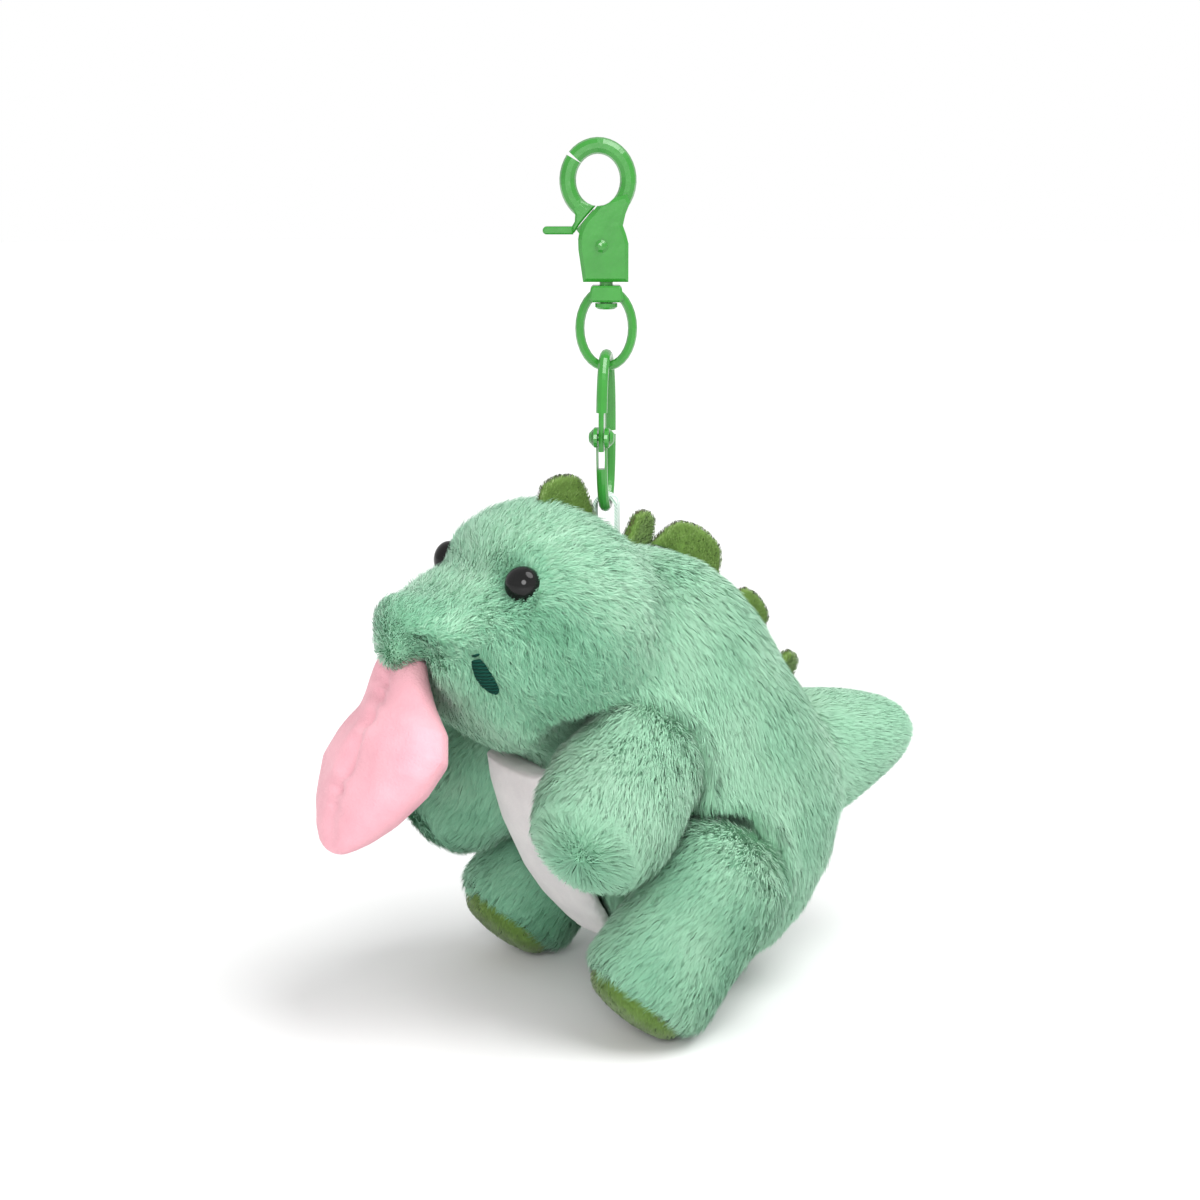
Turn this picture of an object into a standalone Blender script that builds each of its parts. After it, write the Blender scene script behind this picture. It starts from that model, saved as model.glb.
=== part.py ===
"""Plush dinosaur bag charm: a stuffed dinosaur hanging from an oval hinged clip and a swivel lobster clasp.

Metres, +Z up.  The origin is in the eye of the lobster clasp, on the vertical axis that the chain hangs on.
The dinosaur faces -Y, so its left side is +X and its mirror plane is X = 0.
Sizes below are written in millimetres and turned into metres by mm().
"""
import math

import bmesh
import bpy
from mathutils import Matrix, Vector

# ---------------------------------------------------------------- driving dimensions (millimetres)
GAP = 0.3                    # clearance that touching pieces keep
SOFT_GAP = 0.4               # clearance between two stuffed pieces

CLASP_TURN_DEG = 60.0        # the clasp and its swivel ring, turned about the chain
CLIP_TURN_DEG = -37.0        # the oval clip, turned about the chain

EYE_SHIFT = -1.6             # middle of the clasp's eye, to one side of the chain
EYE_HALF_W = 4.25            # the eye's half width and half height
EYE_HALF_H = 4.95
HOOK_WIRE = 3.2              # width of the hook's round wire
HOOK_DEPTH = 3.0
HOOK_TIP_DEG = 139.0         # where the hook ends and the lever's gate begins
BODY_DEPTH = 4.8             # thickness of the clasp's casing
CASE_FLOOR = -19.4           # underside of the casing
PIVOT_X, PIVOT_Z = -0.94, -12.5
PIVOT_R = 0.8
SLOT_W = 2.0                 # slot in the casing that the lever turns in
LEVER_PLATE = 1.6
TAB_LENGTH = 5.9
TAB_THICK = 1.5

POST_R = 1.3                 # swivel post
SWIVEL_TOP = -20.1
SWIVEL_HALF_W = 5.15         # centre line of the oval swivel ring
SWIVEL_HALF_H = 7.45
SWIVEL_WIRE_R = 0.9
COLLAR_H = 3.2

CLIP_HALF_W = 7.4            # centre line of the oval clip
CLIP_HALF_H = 14.95
CLIP_MID_Z = -48.55
CLIP_WIRE_R = 1.1
CLIP_PIN_Z = -49.0
CLIP_PIN_R = 0.6
TONGUE_THICK = 1.0           # thinned end of the upper half, between the ears of the lower half

LOOP_WIDTH = 4.4             # fabric hanging loop, over the clip's lowest wire
LOOP_ROOM = 0.8              # how much higher than the wire the loop arches
LOOP_THICK = 0.6
LOOP_FOOT_Z = -72.0

EYE_R = 3.5                  # plastic safety eye
EYE_AT = (15.6, -27.0, -74.2)
EYE_DIRECTION = (0.62, -0.76, 0.18)
WASHER_R = 4.5

SPIKE_THICK = 2.6
HIP = (27.0, 15.0, -138.0)
SHOULDER = (24.0, -4.0, -103.0)
MOUTH = (0.0, -42.6, -88.0)
LEG_SWEEP_DEG = 20.0         # each limb's sewn seam lets it swing this far both ways
ARM_SWEEP_DEG = 15.0
TONGUE_SWEEP_DEG = 12.0

FUR = (0.37, 0.68, 0.50)
OLIVE = (0.20, 0.34, 0.09)
PINK = (0.90, 0.45, 0.55)
WHITE = (0.86, 0.86, 0.86)
GREEN_PAINT = (0.05, 0.42, 0.07)
BLACK = (0.012, 0.012, 0.012)
DARK_THREAD = (0.01, 0.12, 0.07)


def mm(value):
    return value * 0.001


def vec(x, y, z):
    """A point in millimetres as a vector in metres."""
    return Vector((mm(x), mm(y), mm(z)))


# ---------------------------------------------------------------- scene helpers
def clear_scene():
    for item in list(bpy.data.objects):
        bpy.data.objects.remove(item, do_unlink=True)


def material(name, colour, roughness, metallic=0.0):
    made = bpy.data.materials.new(name)
    made.use_nodes = True
    shader = made.node_tree.nodes["Principled BSDF"]
    shader.inputs["Base Color"].default_value = (*colour, 1.0)
    shader.inputs["Roughness"].default_value = roughness
    shader.inputs["Metallic"].default_value = metallic
    return made


def add_object(name, bm, colour=None, parent=None, smooth_deg=40.0):
    """Close off a bmesh as an object; a piece with no material is a cutter, which the part leaves out."""
    bmesh.ops.recalc_face_normals(bm, faces=bm.faces)
    mesh = bpy.data.meshes.new(name)
    bm.to_mesh(mesh)
    bm.free()
    mesh.shade_smooth()
    mesh.set_sharp_from_angle(angle=math.radians(smooth_deg))
    item = bpy.data.objects.new(name, mesh)
    bpy.context.scene.collection.objects.link(item)
    if parent is not None:
        item.parent = parent
    if colour is None:
        item.hide_render = True
        item.display_type = "WIRE"
    else:
        mesh.materials.append(colour)
    return item


def empty(name, location=(0, 0, 0), turn_deg=0.0):
    item = bpy.data.objects.new(name, None)
    item.location = location
    item.rotation_euler = (0, 0, math.radians(turn_deg))
    bpy.context.scene.collection.objects.link(item)
    return item


def boolean(item, cutter, operation="DIFFERENCE", solver="EXACT"):
    step = item.modifiers.new(f"{operation.lower()}_{cutter.name}", "BOOLEAN")
    step.operation = operation
    step.solver = solver
    step.object = cutter


def cutter_copy(name, source, grow=0.0, pivot=None, turn_deg=0.0, axis="X"):
    """A hidden copy of a piece's own mesh, grown along its normals and turned about a pivot."""
    bm = bmesh.new()
    bm.from_mesh(source.data)
    bm.normal_update()
    for vert in bm.verts:
        vert.co += vert.normal * mm(grow)
    if pivot is not None:
        turn = Matrix.Rotation(math.radians(turn_deg), 3, axis)
        bmesh.ops.rotate(bm, verts=bm.verts, cent=vec(*pivot), matrix=turn)
    made = add_object(name, bm, parent=source.parent)
    return made


# ---------------------------------------------------------------- shape helpers
def bridge_rings(bm, rings, closed=False):
    """Skin a list of vertex rings; an open run gets flat caps, or a point where a ring is one vertex."""
    pairs = list(zip(rings, rings[1:]))
    if closed:
        pairs.append((rings[-1], rings[0]))
    for lower, upper in pairs:
        count = max(len(lower), len(upper))
        for i in range(count):
            j = (i + 1) % count
            if len(lower) == 1:
                bm.faces.new((lower[0], upper[i], upper[j]))
            elif len(upper) == 1:
                bm.faces.new((lower[i], lower[j], upper[0]))
            else:
                bm.faces.new((lower[i], lower[j], upper[j], upper[i]))
    if not closed:
        for ring in (rings[0], rings[-1]):
            if len(ring) > 2:
                bm.faces.new(ring)


def super_ellipse(angle, power):
    """A point on a unit super-ellipse: power 2 is a circle, and more is squarer."""
    c, s = math.cos(angle), math.sin(angle)
    return (math.copysign(abs(c) ** (2.0 / power), c), math.copysign(abs(s) ** (2.0 / power), s))


def tube(name, path, half_u, half_v, colour=None, parent=None, sides=10, closed=False, side_axis=(0, 1, 0)):
    """A round bar along a path in the local XZ plane; half_v is its half depth along side_axis."""
    bm = bmesh.new()
    count = len(path)
    depth = Vector(side_axis)
    rings = []
    for i, point in enumerate(path):
        before = path[i - 1] if (i or closed) else point
        after = path[(i + 1) % count] if (i + 1 < count or closed) else point
        along = (after - before).normalized()
        across = along.cross(depth).normalized()
        ring = []
        for k in range(sides):
            turn = 2 * math.pi * k / sides
            ring.append(bm.verts.new(point + across * (mm(half_u) * math.cos(turn))
                                     + depth * (mm(half_v) * math.sin(turn))))
        rings.append(ring)
    bridge_rings(bm, rings, closed)
    return add_object(name, bm, colour, parent)


def oval_path(mid_x, mid_z, half_w, half_h, start_deg, end_deg, steps, power=2.0):
    path = []
    for i in range(steps + 1):
        turn = math.radians(start_deg + (end_deg - start_deg) * i / steps)
        c, s = super_ellipse(turn, power)
        path.append(vec(mid_x + half_w * c, 0, mid_z + half_h * s))
    return path


def plate(name, outline, thick, colour=None, parent=None, bevel=0.0, mid_y=0.0):
    """An outline in the local XZ plane given a thickness along local Y, with its long edges rounded."""
    bm = bmesh.new()
    face = bm.faces.new([bm.verts.new(vec(x, mid_y - thick / 2, z)) for x, z in outline])
    made = bmesh.ops.extrude_face_region(bm, geom=[face])
    fresh = [g for g in made["geom"] if isinstance(g, bmesh.types.BMVert)]
    bmesh.ops.translate(bm, verts=fresh, vec=vec(0, thick, 0))
    if bevel:
        flat = [e for e in bm.edges if abs(e.verts[0].co.y - e.verts[1].co.y) < mm(0.01)]
        bmesh.ops.bevel(bm, geom=flat, offset=mm(bevel), segments=1, affect="EDGES", profile=0.5)
    return add_object(name, bm, colour, parent)


def arc(mid_x, mid_z, radius, start_deg, end_deg, steps):
    points = []
    for i in range(steps + 1):
        turn = math.radians(start_deg + (end_deg - start_deg) * i / steps)
        points.append((mid_x + radius * math.cos(turn), mid_z + radius * math.sin(turn)))
    return points


def turned(name, profile, colour=None, parent=None, sides=20, location=(0, 0, 0), direction=(0, 0, 1),
           hollow=False):
    """A turned piece: profile is (radius, height) pairs, from the axis to the axis, or all round a ring."""
    bm = bmesh.new()
    rings = []
    for radius, height in profile:
        if radius == 0:
            rings.append([bm.verts.new(vec(0, 0, height))])
            continue
        ring = []
        for k in range(sides):
            turn = 2 * math.pi * k / sides
            ring.append(bm.verts.new(vec(radius * math.cos(turn), radius * math.sin(turn), height)))
        rings.append(ring)
    bridge_rings(bm, rings, closed=hollow)
    aim = Vector((0, 0, 1)).rotation_difference(Vector(direction)).to_matrix()
    bmesh.ops.rotate(bm, verts=bm.verts, cent=(0, 0, 0), matrix=aim)
    bmesh.ops.translate(bm, verts=bm.verts, vec=vec(*location))
    return add_object(name, bm, colour, parent)


def loft(name, stations, colour=None, along="Y", sides=28, power=2.2, parent=None):
    """A stuffed form skinned over sections square to Y or Z.

    A station is (place, half_x, low, high): its place along the axis, its half width, and the lowest and
    highest reach of the section in the other axis.  The first and last stations are points.
    """
    bm = bmesh.new()
    rings = []
    for place, half_x, low, high in stations:
        middle, half = (low + high) / 2, (high - low) / 2
        if half_x == 0:
            spot = (0, place, middle) if along == "Y" else (0, middle, place)
            rings.append([bm.verts.new(vec(*spot))])
            continue
        ring = []
        for k in range(sides):
            c, s = super_ellipse(2 * math.pi * (k + 0.5) / sides, power)
            other = middle + half * s
            spot = (half_x * c, place, other) if along == "Y" else (half_x * c, other, place)
            ring.append(bm.verts.new(vec(*spot)))
        rings.append(ring)
    bridge_rings(bm, rings)
    return add_object(name, bm, colour, parent)


def limb(name, start, end, profile, colour=None, sides=18, power=2.1, wide=1.0):
    """A stuffed limb along a straight axis: profile is (fraction of its length, radius) pairs.

    wide stretches the section along X; the other section axis is square to it and to the limb.
    """
    bm = bmesh.new()
    a, b = vec(*start), vec(*end)
    along = (b - a).normalized()
    up = along.cross(Vector((1, 0, 0))).normalized()
    out = up.cross(along).normalized()
    rings = []
    for fraction, radius in profile:
        middle = a.lerp(b, fraction)
        if radius == 0:
            rings.append([bm.verts.new(middle)])
            continue
        ring = []
        for k in range(sides):
            c, s = super_ellipse(2 * math.pi * (k + 0.5) / sides, power)
            ring.append(bm.verts.new(middle + out * (mm(radius) * wide * c) + up * (mm(radius) * s)))
        rings.append(ring)
    bridge_rings(bm, rings)
    return add_object(name, bm, colour)


# ---------------------------------------------------------------- lobster clasp
def clasp(paint):
    frame = empty("clasp_axis", turn_deg=CLASP_TURN_DEG)
    mid_w = EYE_HALF_W + HOOK_WIRE / 2
    mid_h = EYE_HALF_H + HOOK_WIRE / 2
    half_wire = HOOK_WIRE / 2
    half_depth = HOOK_DEPTH / 2
    left = EYE_SHIFT

    # Casing: its upper left edge comes closer to the pivot as it runs down, so the lever can turn outwards.
    edge = [(left + 0.1, -4.6), (left - 1.0, -6.0), (left - 2.1, -7.1), (left - 3.0, -8.4),
            (left - 3.6, -9.9)]
    case = edge + [(left - 3.85, -11.2), (left - 3.8, -13.2), (left - 2.9, CASE_FLOOR),
                   (left + 5.9, CASE_FLOOR), (left + 5.9, -12.0), (left + 5.4, -10.2), (left + 4.8, -8.6),
                   (left + 5.3, -6.4), (left + 6.2, -4.2), (left + 5.6, -2.6), (left + 3.0, -3.4)]
    body = plate("clasp_body", case, BODY_DEPTH, paint, frame, bevel=0.7)
    hook = tube("clasp_hook_form", oval_path(left, 0, mid_w, mid_h, HOOK_TIP_DEG, -52, 20), half_wire,
                half_depth, parent=frame)
    boolean(body, hook, "UNION")
    eye = plate("clasp_eye_cut", [(left + EYE_HALF_W * math.cos(t), EYE_HALF_H * math.sin(t))
                                  for t in [math.radians(15 * i) for i in range(24)]], 8.0, parent=frame)
    boolean(body, eye)
    room = arc(PIVOT_X, PIVOT_Z, 4.1, -168, 62, 20) + [(left + 0.6, -3.0), (-9.0, -3.0), (-9.0, -13.4)]
    slot = plate("clasp_slot_cut", room, SLOT_W, parent=frame)
    boolean(body, slot)
    pocket = plate("clasp_spring_cut", [(-4.2, -16.9), (-2.6, -16.9), (-2.6, -12.0), (-4.2, -12.0)], 1.9,
                   parent=frame)
    boolean(body, pocket)
    rivet_hole = turned("clasp_rivet_cut", [(0, -5), (PIVOT_R + 0.15, -5), (PIVOT_R + 0.15, 5), (0, 5)],
                        parent=frame, location=(PIVOT_X, 0, PIVOT_Z), direction=(0, 1, 0))
    boolean(body, rivet_hole)
    post_hole = turned("clasp_post_cut", [(0, -25), (POST_R + GAP, -25), (POST_R + GAP, -18.4),
                                          (2.3, -18.4), (2.3, -17.0), (0, -17.0)], parent=frame)
    boolean(body, post_hole)

    # Lever: gate arm along the left of the eye, thumb tab, and a flat plate that turns on the rivet.
    lever = tube("clasp_lever", oval_path(left, 0, mid_w, mid_h, HOOK_TIP_DEG + 3.5, 247, 12), half_wire,
                 half_depth, paint, frame)
    web = [(left - 0.35, -4.75), (left - 1.5, -6.05), (left - 2.55, -7.2), (left - 3.6, -8.5),
           (left - 4.5, -9.9), (left - 5.1, -10.3), (left - 5.1, -8.9), (left - 4.5, -7.9),
           (left - 4.4, -6.6), (left - 5.0, -5.2), (left - 3.4, -3.8), (left - 1.8, -4.5)]
    boolean(lever, plate("clasp_web_form", web, HOOK_DEPTH - 0.2, parent=frame, bevel=0.35), "UNION",
            "MANIFOLD")
    tab_end = left - 4.8 - TAB_LENGTH + TAB_THICK / 2
    tab = [(left - 4.8, -10.3)] + arc(tab_end, -9.55, TAB_THICK / 2, 270, 90, 8) + [(left - 4.8, -8.8)]
    boolean(lever, plate("clasp_tab_form", tab, HOOK_DEPTH + 0.8, parent=frame, bevel=0.3), "UNION",
            "MANIFOLD")
    root = arc(PIVOT_X, PIVOT_Z, 2.2, -125, 20, 12)
    root += [(left + 0.3, -7.2), (left - 0.9, -5.5), (left - 4.2, -9.4)]
    boolean(lever, plate("clasp_root_form", root, LEVER_PLATE, parent=frame), "UNION", "MANIFOLD")
    boolean(lever, rivet_hole, solver="MANIFOLD")
    boolean(lever, eye, solver="MANIFOLD")

    head = BODY_DEPTH / 2
    dome = [(0, -head - 0.75), (0.7, -head - 0.62), (1.2, -head - 0.15), (PIVOT_R, -head - 0.15)]
    mirror = [(radius, -height) for radius, height in reversed(dome)]
    turned("clasp_rivet", dome + mirror, paint, frame, location=(PIVOT_X, 0, PIVOT_Z), direction=(0, 1, 0))
    return frame


def clasp_spring(steel, frame):
    """A small coil that stands in the casing's pocket and pushes the lever's plate up."""
    turns, coil_r, wire_r, steps, sides = 4, 0.55, 0.15, 8, 5
    mid_x, low, high = -3.4, -16.6, -14.9
    bm = bmesh.new()
    rings = []
    for i in range(turns * steps + 1):
        turn = 2 * math.pi * i / steps
        outward = Vector((math.cos(turn), math.sin(turn), 0))
        rise = low + (high - low) * i / (turns * steps)
        ring = []
        for k in range(sides):
            around = 2 * math.pi * k / sides
            reach = outward * mm(coil_r + wire_r * math.cos(around))
            ring.append(bm.verts.new(vec(mid_x, 0, rise + wire_r * math.sin(around)) + reach))
        rings.append(ring)
    bridge_rings(bm, rings)
    return add_object("clasp_spring", bm, steel, frame)


def swivel(paint, frame):
    """The swivel post is riveted in the casing, and the oval ring turns on it by its collar."""
    floor = SWIVEL_TOP - COLLAR_H
    turned("swivel_post", [(0, floor - 1.5), (1.7, floor - 1.4), (2.2, floor - 1.0), (2.2, floor - 0.25),
                           (POST_R, floor - 0.25), (POST_R, -18.2), (2.0, -18.2), (2.0, -17.3),
                           (0, -17.2)], paint, frame)
    middle = SWIVEL_TOP - SWIVEL_HALF_H - SWIVEL_WIRE_R
    path = oval_path(0, middle, SWIVEL_HALF_W, SWIVEL_HALF_H, 0, 360, 32)[:-1]
    ring = tube("swivel_ring", path, SWIVEL_WIRE_R, SWIVEL_WIRE_R, paint, frame, sides=8, closed=True)
    collar = [(-3.4, floor + 0.7), (-2.7, floor), (2.7, floor), (3.4, floor + 0.7), (3.0, SWIVEL_TOP - 0.4),
              (2.6, SWIVEL_TOP), (-2.6, SWIVEL_TOP), (-3.0, SWIVEL_TOP - 0.4)]
    boolean(ring, plate("swivel_collar_form", collar, 5.0, parent=frame, bevel=0.4), "UNION")
    bore = turned("swivel_bore_cut", [(0, -30), (POST_R + 0.25, -30), (POST_R + 0.25, -15), (0, -15)],
                  parent=frame)
    boolean(ring, bore)


# ---------------------------------------------------------------- oval hinged clip
def clip(paint):
    frame = empty("clip_axis", turn_deg=CLIP_TURN_DEG)
    near = CLIP_HALF_W
    power = 2.25

    def wire(start, end, steps):
        return oval_path(0, CLIP_MID_Z, CLIP_HALF_W, CLIP_HALF_H, start, end, steps, power)

    seam = -1.9                      # the two halves meet just under half height
    upper = tube("clip_upper", wire(seam - 8.0, 180 - seam, 30), CLIP_WIRE_R, CLIP_WIRE_R, paint, frame)
    thin = 3.0
    for side in (-1, 1):
        middle = side * (TONGUE_THICK / 2 + thin / 2)
        shoulder = plate(f"clip_tongue_cut_{side + 1}", [(near - 3, -60), (near + 3, -60), (near + 3, -45.0),
                                                         (near + 1.3, -44.2), (near - 1.3, -44.2),
                                                         (near - 3, -45.0)], thin, parent=frame, mid_y=middle)
        boolean(upper, shoulder)
    lower = tube("clip_lower", wire(seam, -180 - seam + 2.6, 30), CLIP_WIRE_R, CLIP_WIRE_R, paint, frame)
    boss = plate("clip_boss_form", arc(near, CLIP_PIN_Z, 2.0, 0, 337.5, 15), 3.2, parent=frame, bevel=0.25)
    boolean(lower, boss, "UNION")
    room = [(near - 3.2, -55.2), (near + 3.2, -55.2), (near + 3.2, -44), (near - 3.2, -44)]
    fork = plate("clip_fork_cut", room, TONGUE_THICK + 2 * 0.2, parent=frame)
    boolean(lower, fork)
    hole = turned("clip_pin_cut", [(0, -5), (CLIP_PIN_R + 0.15, -5), (CLIP_PIN_R + 0.15, 5), (0, 5)],
                  parent=frame, location=(near, 0, CLIP_PIN_Z), direction=(0, 1, 0), sides=16)
    boolean(upper, hole)
    boolean(lower, hole)
    face = 1.6
    dome = [(0, -face - 0.95), (0.9, -face - 0.8), (1.6, -face - 0.15), (CLIP_PIN_R, -face - 0.15)]
    mirror = [(radius, -height) for radius, height in reversed(dome)]
    turned("clip_pin", dome + mirror, paint, frame, sides=16, location=(near, 0, CLIP_PIN_Z),
           direction=(0, 1, 0))


def hang_loop(cloth):
    """Fabric loop over the clip's lowest wire, and the slot that its two legs go down in at the neck."""
    frame = empty("loop_axis", turn_deg=CLIP_TURN_DEG + 90.0)
    wire_z = CLIP_MID_Z - CLIP_HALF_H
    inner = CLIP_WIRE_R + LOOP_ROOM
    outer = inner + LOOP_THICK
    outline = [(outer, LOOP_FOOT_Z)] + arc(0, wire_z, outer, 0, 180, 12) + [(-outer, LOOP_FOOT_Z)]
    outline += [(-inner, LOOP_FOOT_Z)] + arc(0, wire_z, inner, 180, 0, 12) + [(inner, LOOP_FOOT_Z)]
    plate("hang_loop", outline, LOOP_WIDTH, cloth, frame)
    side, foot = outer + GAP, LOOP_FOOT_Z - GAP
    slot = [(-side, foot), (side, foot), (side, wire_z + 6.0), (-side, wire_z + 6.0)]
    return plate("loop_slot_cut", slot, LOOP_WIDTH + 2 * GAP, parent=frame)


# ---------------------------------------------------------------- stuffed dinosaur
HEAD = [(-48.8, 0, -86.5, -86.5), (-47.6, 8.5, -91.0, -82.0), (-44.5, 14.5, -93.5, -80.2),
        (-40.5, 19.0, -96.5, -78.2), (-36.5, 21.8, -101.5, -75.6), (-32.0, 24.0, -106.0, -71.4),
        (-27.0, 25.8, -109.3, -65.2), (-20.0, 27.2, -110.5, -61.9), (-13.0, 27.4, -109.3, -61.2),
        (-6.0, 26.0, -106.0, -64.0), (0.0, 22.5, -101.0, -68.4), (5.0, 16.0, -95.0, -74.5),
        (8.0, 8.0, -90.0, -80.0), (9.2, 0, -85.0, -85.0)]

TRUNK = [(-162.0, 0, 21.0, 21.0), (-160.5, 10.0, 10.0, 32.0), (-156.0, 18.5, 3.0, 38.5),
         (-148.0, 24.5, -4.5, 44.5), (-138.0, 28.0, -11.5, 49.8), (-127.0, 29.8, -16.5, 52.0),
         (-116.0, 30.2, -19.5, 49.6), (-105.0, 29.6, -20.5, 43.4), (-95.0, 28.0, -19.0, 36.2),
         (-86.0, 25.2, -15.5, 31.0), (-79.0, 21.0, -11.0, 25.4), (-73.5, 15.0, -4.5, 19.0),
         (-70.5, 8.0, 1.0, 13.5), (-69.6, 0, 7.0, 7.0)]

TAIL = [(34.0, 0, -122.0, -122.0), (36.0, 14.0, -136.0, -106.0), (48.0, 16.0, -136.5, -106.0),
        (56.0, 14.8, -133.5, -107.2), (64.0, 12.6, -129.5, -108.6), (70.5, 9.8, -126.0, -110.6),
        (74.5, 6.4, -122.5, -113.6), (76.5, 0, -118.5, -118.5)]

# White belly panel: a thin padded patch laid into the front of the trunk.
BELLY = [(-150.0, 8.4, -3.4, 0.1), (-144.0, 11.8, -8.5, -5.0), (-138.0, 13.0, -12.4, -8.9),
         (-127.0, 13.8, -17.4, -13.9), (-118.0, 13.4, -20.1, -16.6), (-112.5, 11.8, -21.1, -17.6)]

# Tongue from its tip up into the mouth: (y, z, half width, half thickness).
TONGUE = [(-61.9, -125.2, 2.6, 1.8), (-60.8, -124.0, 6.4, 3.2), (-59.0, -121.8, 9.8, 5.0),
          (-56.0, -118.6, 14.8, 6.5), (-52.2, -114.2, 19.6, 7.8), (-49.2, -109.2, 21.4, 8.2),
          (-47.0, -104.0, 19.0, 7.2), (-45.2, -98.8, 13.4, 5.2), (-44.0, -94.0, 9.6, 4.4),
          (-42.9, -89.6, 7.2, 3.8), (-42.2, -85.6, 6.0, 3.4)]
TONGUE_ROLL_DEG = -12.0
LIP_Z = -89.2
JAW_FRONT = -43.4              # the jaw sits back from the lip, behind the tongue
JAW_CUT_HALF_W = 22.0
JAW_CUT_LOW_Z = -112.0
JAW_CUT_DEPTH = 20.0

SPIKES = [(1, (0, -9.7, -63.6), 6.0, 6.4, 6.2, 0.0), (2, (0, 7.2, -71.4), -20.0, 4.6, 5.8, 25.0),
          (3, (0, 18.2, -77.0), -32.0, 9.4, 7.4, 0.0), (4, (0, 32.4, -90.4), -46.0, 7.4, 5.8, 8.0),
          (5, (0, 43.0, -102.6), -40.0, 4.6, 4.4, 30.0)]


def tongue_form(name, colour):
    """A stuffed tongue that hangs down and curls forward, rolled a little about its middle."""
    bm = bmesh.new()
    rings = []
    for i, (y, z, half_w, half_t) in enumerate(TONGUE):
        before, after = TONGUE[max(i - 1, 0)], TONGUE[min(i + 1, len(TONGUE) - 1)]
        up = Vector((0, after[0] - before[0], after[1] - before[1])).normalized()
        back = Vector((0, up.z, -up.y))
        ring = []
        for k in range(20):
            c, s = super_ellipse(2 * math.pi * (k + 0.5) / 20, 2.3)
            ring.append(bm.verts.new(vec(0, y, z) + Vector((mm(half_w) * c, 0, 0)) + back * (mm(half_t) * s)))
        rings.append(ring)
    bridge_rings(bm, rings)
    y, z = TONGUE[len(TONGUE) // 2][:2]
    roll = Matrix.Rotation(math.radians(TONGUE_ROLL_DEG), 3, "Y")
    bmesh.ops.rotate(bm, verts=bm.verts, cent=vec(0, y, z), matrix=roll)
    return add_object(name, bm, colour)


def sweep_cutters(source, pivot, span_deg, axis="X", steps=4):
    """Grown copies of a limb through the swing that its seam allows."""
    made = []
    for i in range(steps + 1):
        turn = -span_deg + 2 * span_deg * i / steps
        made.append(cutter_copy(f"{source.name}_sweep_{i}", source, SOFT_GAP, pivot, turn, axis))
    return made


def leg(side, fur, olive):
    word = "left" if side > 0 else "right"
    sole_mid = Vector((side * 27.0, -8.0, -155.8))
    along = Vector((side * 0.02, 0.67, 0.74)).normalized()
    top = sole_mid + along * 39.0
    profile = [(0.0, 11.5), (0.06, 12.8), (0.22, 13.4), (0.45, 14.0), (0.64, 14.4), (0.82, 13.2), (0.94, 8.8),
               (1.0, 0)]
    thigh = limb(f"leg_{word}", tuple(sole_mid), tuple(top), profile, fur, wide=0.88)
    under = sole_mid - along * 3.0
    limb(f"sole_{word}", tuple(under), tuple(sole_mid - along * SOFT_GAP),
         [(0.0, 8.6), (0.35, 10.7), (1.0, 11.3)], olive, wide=0.88)
    return thigh


def arm(side, fur):
    """The right arm hangs lower than the left one, as its seam lets it."""
    word = "left" if side > 0 else "right"
    shoulder = (side * 21.0, 0.0, -102.5)
    hand = (27.0, -26.0, -130.0) if side > 0 else (-27.0, -27.5, -135.0)
    profile = [(0.0, 0), (0.06, 7.0), (0.2, 11.8), (0.42, 14.4), (0.66, 14.6), (0.85, 11.9), (0.96, 6.6),
               (1.0, 0)]
    return limb(f"arm_{word}", shoulder, hand, profile, fur, wide=0.92)


def eye(side, plastic, washer_plastic):
    """A domed safety eye: its stem goes through the fabric and a washer locks it behind."""
    word = "left" if side > 0 else "right"
    place = (side * EYE_AT[0], EYE_AT[1], EYE_AT[2])
    aim = (side * EYE_DIRECTION[0], EYE_DIRECTION[1], EYE_DIRECTION[2])
    dome = []
    for rise in (12, 35, 55, 75):
        turn = math.radians(rise)
        dome.append((EYE_R * math.cos(turn), 0.4 + 2.5 * math.sin(turn)))
    button = [(0, -7.0), (1.0, -7.0), (1.0, -0.9), (EYE_R, -0.9)] + dome + [(0, 2.9)]
    turned(f"eye_{word}", button, plastic, location=place, direction=aim, sides=18)
    turned(f"eye_washer_{word}", [(1.3, -6.2), (WASHER_R, -6.2), (WASHER_R, -5.2), (1.3, -5.2)],
           washer_plastic, location=place, direction=aim, sides=16, hollow=True)
    pocket = turned(f"eye_cut_{word}", [(0, -7.6), (WASHER_R + GAP, -7.6), (WASHER_R + GAP, -4.9),
                                        (1.35, -4.9), (1.35, -1.2), (EYE_R + GAP, -1.2), (EYE_R + GAP, 6.0),
                                        (0, 6.0)], location=place, direction=aim, sides=18)
    return pocket


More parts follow.
